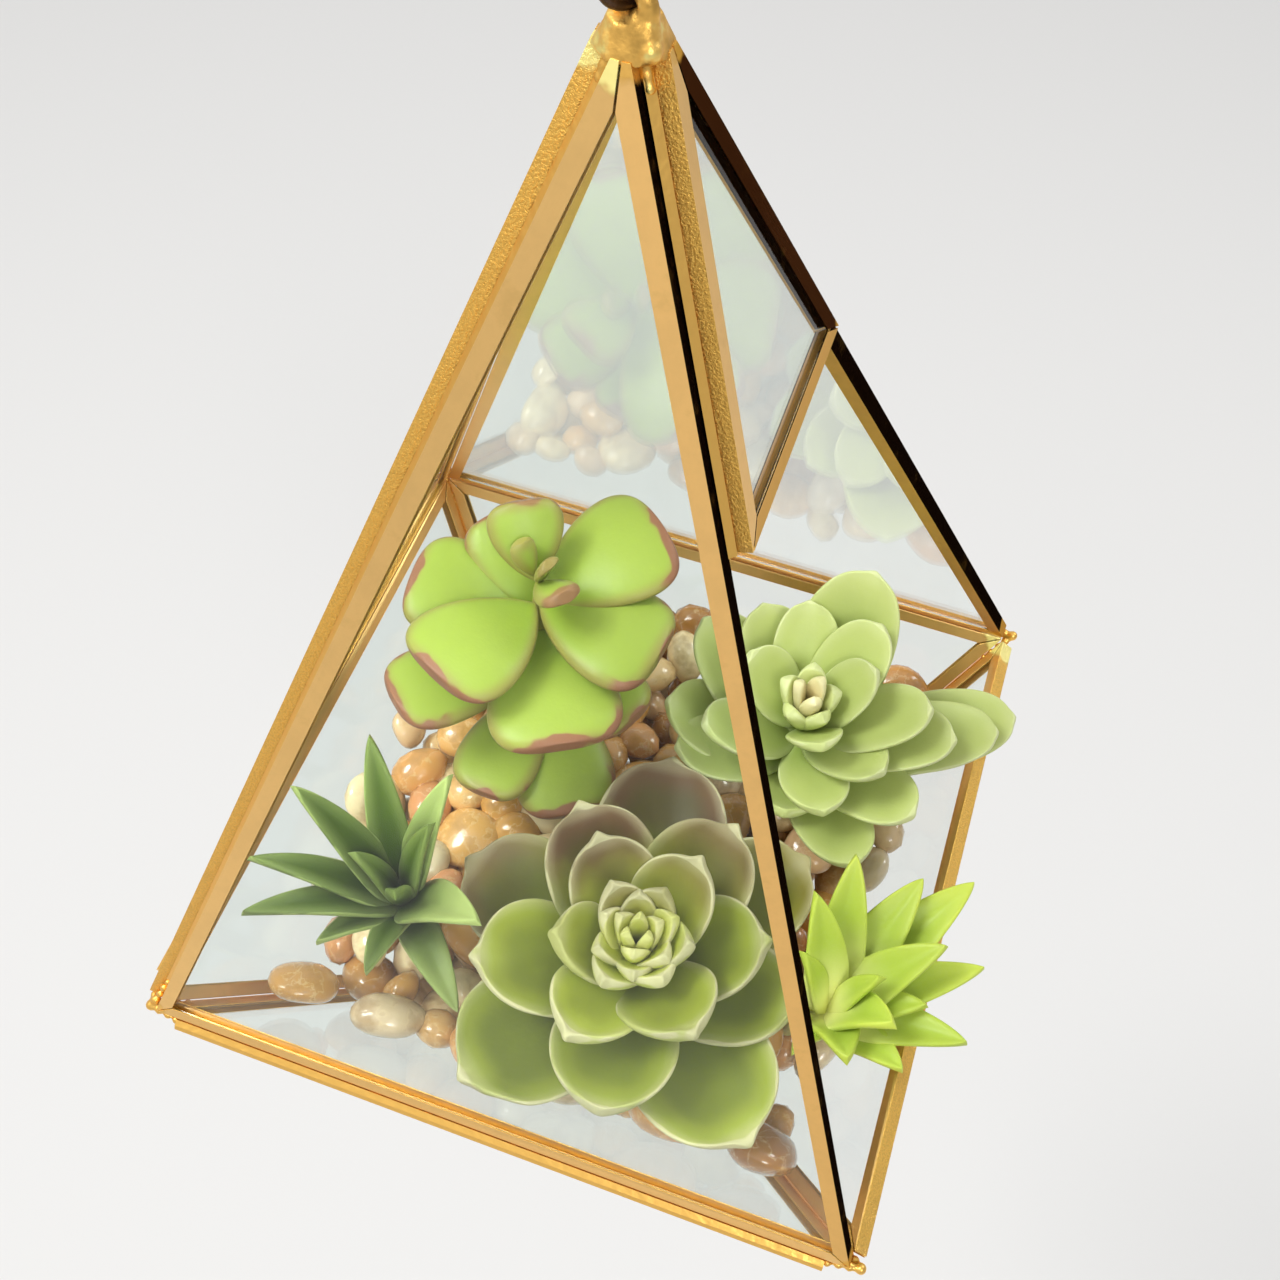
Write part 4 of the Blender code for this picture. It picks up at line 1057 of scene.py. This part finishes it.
class TERRARIUM_OT_solder(bpy.types.Operator):
    """Give the seams, the corner joints and the lower cap their solder"""
    bl_idname = "terrarium.solder"
    bl_label = "Solder"

    def execute(self, context):
        material = solder_material(context.scene.terrarium_body)
        seam = seam_material(context.scene.terrarium_body)
        for name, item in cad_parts.items():
            if name.startswith("seam_"):
                item.data.materials.clear()
                item.data.materials.append(seam)
        around = ("front_left", "front_right", "back_right", "back_left")
        for index, corner in enumerate(around):
            node = "solder_bead_" + corner
            low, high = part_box(node)
            builder = bmesh.new()
            add_ball(builder, (low + high) / 2, (high.x - low.x) * BEAD_SHARE)
            add_lumps(builder, corner, (low + high) / 2, CORNER_RUN)
            builder = voxel_melt(builder, 0.00028)
            roughen(builder, 0.00014, 0.0040, index)
            finish_piece(builder, "joint_" + corner, seam, "terrarium", node)
        low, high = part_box("solder_cap_tip")
        builder = bmesh.new()
        bmesh.ops.create_cone(builder, cap_ends=True, segments=4, radius1=TIP_CAP_FOOT,
                              radius2=(high.x - low.x) / sqrt(2), depth=high.z - low.z,
                              matrix=Matrix.Translation((low + high) / 2)
                              @ Matrix.Rotation(pi / 4, 4, "Z"))
        add_lumps(builder, "tip", (low + high) / 2, TIP_RUN)
        builder = voxel_melt(builder, 0.0003)
        roughen(builder, 0.0003, 0.0034, 9)
        finish_piece(builder, "tip_cap", material, "terrarium", "solder_cap_tip")
        return {"FINISHED"}


class TERRARIUM_OT_eyelet(bpy.types.Operator):
    """Melt the eyelet's wire and the apex cap into one lump of solder"""
    bl_idname = "terrarium.eyelet"
    bl_label = "Eyelet"

    def execute(self, context):
        low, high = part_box("eyelet")
        builder = bmesh.new()
        centre = Vector((0, 0, high.z - 2 * EYELET_WIRE - EYELET_HOLE))
        torus(builder, EYELET_HOLE + EYELET_WIRE, EYELET_WIRE, centre,
              (cos(RING_TURN), sin(RING_TURN), 0), 48, 20)
        middle = Vector((0, 0, low.z + CAP_HEIGHT / 2))
        bmesh.ops.create_cone(builder, cap_ends=True, segments=8, radius1=CAP_RADII[0],
                              radius2=CAP_RADII[1], depth=CAP_HEIGHT + CAP_SAG,
                              matrix=Matrix.Translation(middle - Vector((0, 0, CAP_SAG / 2)))
                              @ Matrix.Rotation(pi / 8, 4, "Z"))
        for place, radius in APEX_LUMPS:
            add_ball(builder, middle + Vector(place), radius)
        add_lumps(builder, "apex", middle, APEX_RUN)
        builder = voxel_melt(builder, 0.00025)
        roughen(builder, 0.00026, 0.0032, 4)
        finish_piece(builder, "eyelet_solder", solder_material(context.scene.terrarium_body),
                     "terrarium", "eyelet")
        return {"FINISHED"}


class TERRARIUM_OT_ring(bpy.types.Operator):
    """Bend the round wire of the hanging ring"""
    bl_idname = "terrarium.ring"
    bl_label = "Hanging ring"

    def execute(self, context):
        low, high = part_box("hanging_ring")
        axis = Vector((cos(RING_TURN), sin(RING_TURN), 0)).cross(Vector((0, 0, 1)))
        builder = bmesh.new()
        torus(builder, RING_RADIUS, RING_WIRE, (low + high) / 2, axis, 72, 16)
        finish_piece(builder, "ring_wire", ring_material(context.scene.terrarium_body),
                     "ring", "hanging_ring")
        return {"FINISHED"}


class TERRARIUM_OT_glass(bpy.types.Operator):
    """Glaze the eight panes"""
    bl_idname = "terrarium.glass"
    bl_label = "Glass"

    def execute(self, context):
        looks = context.scene.terrarium_body
        plain = glass_material("float_glass", looks, looks.gloss)
        quiet = glass_material("float_glass_front", looks, looks.front_gloss)
        for name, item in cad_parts.items():
            if name.startswith("glass_"):
                item.data.materials.clear()
                item.data.materials.append(quiet if name == "glass_upper_front" else plain)
        return {"FINISHED"}


class TERRARIUM_OT_pebbles(bpy.types.Operator):
    """Fill the lower pyramid with river pebbles of real size"""
    bl_idname = "terrarium.pebbles"
    bl_label = "River pebbles"

    def execute(self, context):
        looks = context.scene.terrarium_pebbles
        draw = random.Random(PEBBLE_SEED)
        large = set_apart(side_stones(draw) + top_stones(draw))
        planes = bed_planes()
        builder = bmesh.new()
        layers = {key: builder.verts.layers.float.new(key) for key in ("tone", "seed")}
        draw = random.Random(looks.seed + 1)
        for centre, axes, reach in large:
            gaps = [(centre - other[0]).length for other in large if other[0] is not centre]
            share = min(looks.share, min(gaps) / (reach[0] + reach[1]))
            shrunk = [half * share for half in reach]
            outward = axes[2] * (reach[2] - shrunk[2])
            add_stone(builder, layers, (centre + outward, axes, shrunk), 3, draw)
        for centre, radius in settle_stones(looks, large):
            depth = min(limit - normal.dot(centre) for normal, limit in planes)
            strayed = min((centre - other[0]).length for other in large) > STRAY_DISTANCE
            if depth < HIDDEN_DEPTH and not strayed:
                add_stone(builder, layers, small_stone(draw, centre, radius, planes), 2, draw)
        finish_piece(builder, "pebbles", stone_material(looks), "terrarium",
                     "pebble_bed")
        return {"FINISHED"}


class TERRARIUM_OT_plants(bpy.types.Operator):
    """Grow the five artificial succulents"""
    bl_idname = "terrarium.plants"
    bl_label = "Succulents"

    def execute(self, context):
        for name in PLANTS:
            grow_plant(name, context.scene.terrarium_leaves)
        return {"FINISHED"}


class TERRARIUM_OT_stage(bpy.types.Operator):
    """Lay the floor, hang the lamps and set the camera"""
    bl_idname = "terrarium.stage"
    bl_label = "Stage"

    def execute(self, context):
        looks = context.scene.terrarium_stage
        context.scene.view_settings.view_transform = "Standard"
        lay_floor(looks)
        light_studio(looks)
        set_camera(looks)
        return {"FINISHED"}


def lay_floor(looks):
    material, tree, shader = new_material("painted_board")
    feed(tree, shader, {"Base Color": rgba(looks.floor), "Roughness": 0.85})
    builder = bmesh.new()
    level = CAD_BOX[0].z - looks.drop
    bmesh.ops.create_grid(builder, x_segments=1, y_segments=1, size=FLOOR_HALF,
                          matrix=Matrix.Translation((0, 0, level)))
    floor = mesh_object("floor", builder)
    floor.data.materials.append(material)


def add_lamp(name, place, size, power):
    lamp = bpy.data.lights.new(name, "AREA")
    lamp.shape = "DISK"
    lamp.size = size
    lamp.energy = power
    item = new_object(name, lamp)
    item.location = place
    target = Vector((0, 0, GIRDLE_LEVEL))
    item.rotation_mode = "QUATERNION"
    item.rotation_quaternion = (target - Vector(place)).to_track_quat("-Z", "Y")


def light_studio(looks):
    """An even sky that is dimmer at the right, a large lamp at the left and a small one behind."""
    world = bpy.data.worlds.new("studio")
    bpy.context.scene.world = world
    world.use_nodes = True
    tree = world.node_tree
    way = add_node(tree, "ShaderNodeTexCoord").outputs["Generated"]
    sideways = add_node(tree, "ShaderNodeSeparateXYZ", {0: way}).outputs["X"]
    share = ramp_between(tree, sideways, -0.6, 0.8)
    shade = mix_colour(tree, share, (1.0, 0.99, 0.97, 1.0), (0.62, 0.64, 0.68, 1.0))
    feed(tree, tree.nodes["Background"], {"Color": shade, "Strength": looks.sky})
    add_lamp("key_lamp", (-1.15, -0.35, 1.55), 0.8, looks.key)
    add_lamp("fill_lamp", (0.9, 1.1, 0.9), 0.6, looks.fill)
    add_lamp("front_lamp", (0.55, -0.9, 0.9), 0.5, looks.front)


def set_camera(looks):
    """The camera of the photograph, worked out from the frame's lines."""
    back = Vector((sin(looks.azimuth) * cos(looks.elevation),
                   -cos(looks.azimuth) * cos(looks.elevation), sin(looks.elevation)))
    right = Vector((cos(looks.azimuth), sin(looks.azimuth), 0))
    up = back.cross(right)
    tilted_right = right * cos(looks.roll) + up * sin(looks.roll)
    tilted_up = up * cos(looks.roll) - right * sin(looks.roll)
    right_way, up_way, back_way = CAMERA_PLACE
    place = tilted_right * right_way + tilted_up * up_way + back * back_way
    data = bpy.data.cameras.new("camera")
    data.lens = looks.lens
    data.sensor_width = 36.0
    data.clip_start = 0.01
    camera = new_object("camera", data)
    turn = Matrix((tilted_right, tilted_up, back)).transposed().to_4x4()
    camera.matrix_world = Matrix.Translation(place + Vector((0, 0, GIRDLE_LEVEL))) @ turn
    bpy.context.scene.camera = camera


class TERRARIUM_PT_panel(bpy.types.Panel):
    """Every piece's operator"""
    bl_idname = "TERRARIUM_PT_panel"
    bl_label = "Terrarium"
    bl_space_type = "VIEW_3D"
    bl_region_type = "UI"
    bl_category = "Terrarium"

    def draw(self, context):
        for operator in OPERATORS:
            self.layout.operator(operator.bl_idname)


GROUPS = {"terrarium_body": BodyLooks, "terrarium_pebbles": PebbleLooks,
          "terrarium_leaves": LeafLooks, "terrarium_stage": StageLooks}
OPERATORS = (TERRARIUM_OT_brass, TERRARIUM_OT_solder, TERRARIUM_OT_eyelet, TERRARIUM_OT_ring,
             TERRARIUM_OT_glass, TERRARIUM_OT_pebbles, TERRARIUM_OT_plants, TERRARIUM_OT_stage)


def register():
    for kind in (*GROUPS.values(), *OPERATORS, TERRARIUM_PT_panel):
        bpy.utils.register_class(kind)
    for name, kind in GROUPS.items():
        setattr(bpy.types.Scene, name, PointerProperty(type=kind))


def unregister():
    for name in GROUPS:
        delattr(bpy.types.Scene, name)
    for kind in reversed((*GROUPS.values(), *OPERATORS, TERRARIUM_PT_panel)):
        bpy.utils.unregister_class(kind)


def main():
    register()
    bpy.ops.terrarium.brass()
    bpy.ops.terrarium.solder()
    bpy.ops.terrarium.eyelet()
    bpy.ops.terrarium.ring()
    bpy.ops.terrarium.glass()
    bpy.ops.terrarium.pebbles()
    bpy.ops.terrarium.plants()
    bpy.ops.terrarium.stage()


if __name__ == "__main__":
    main()
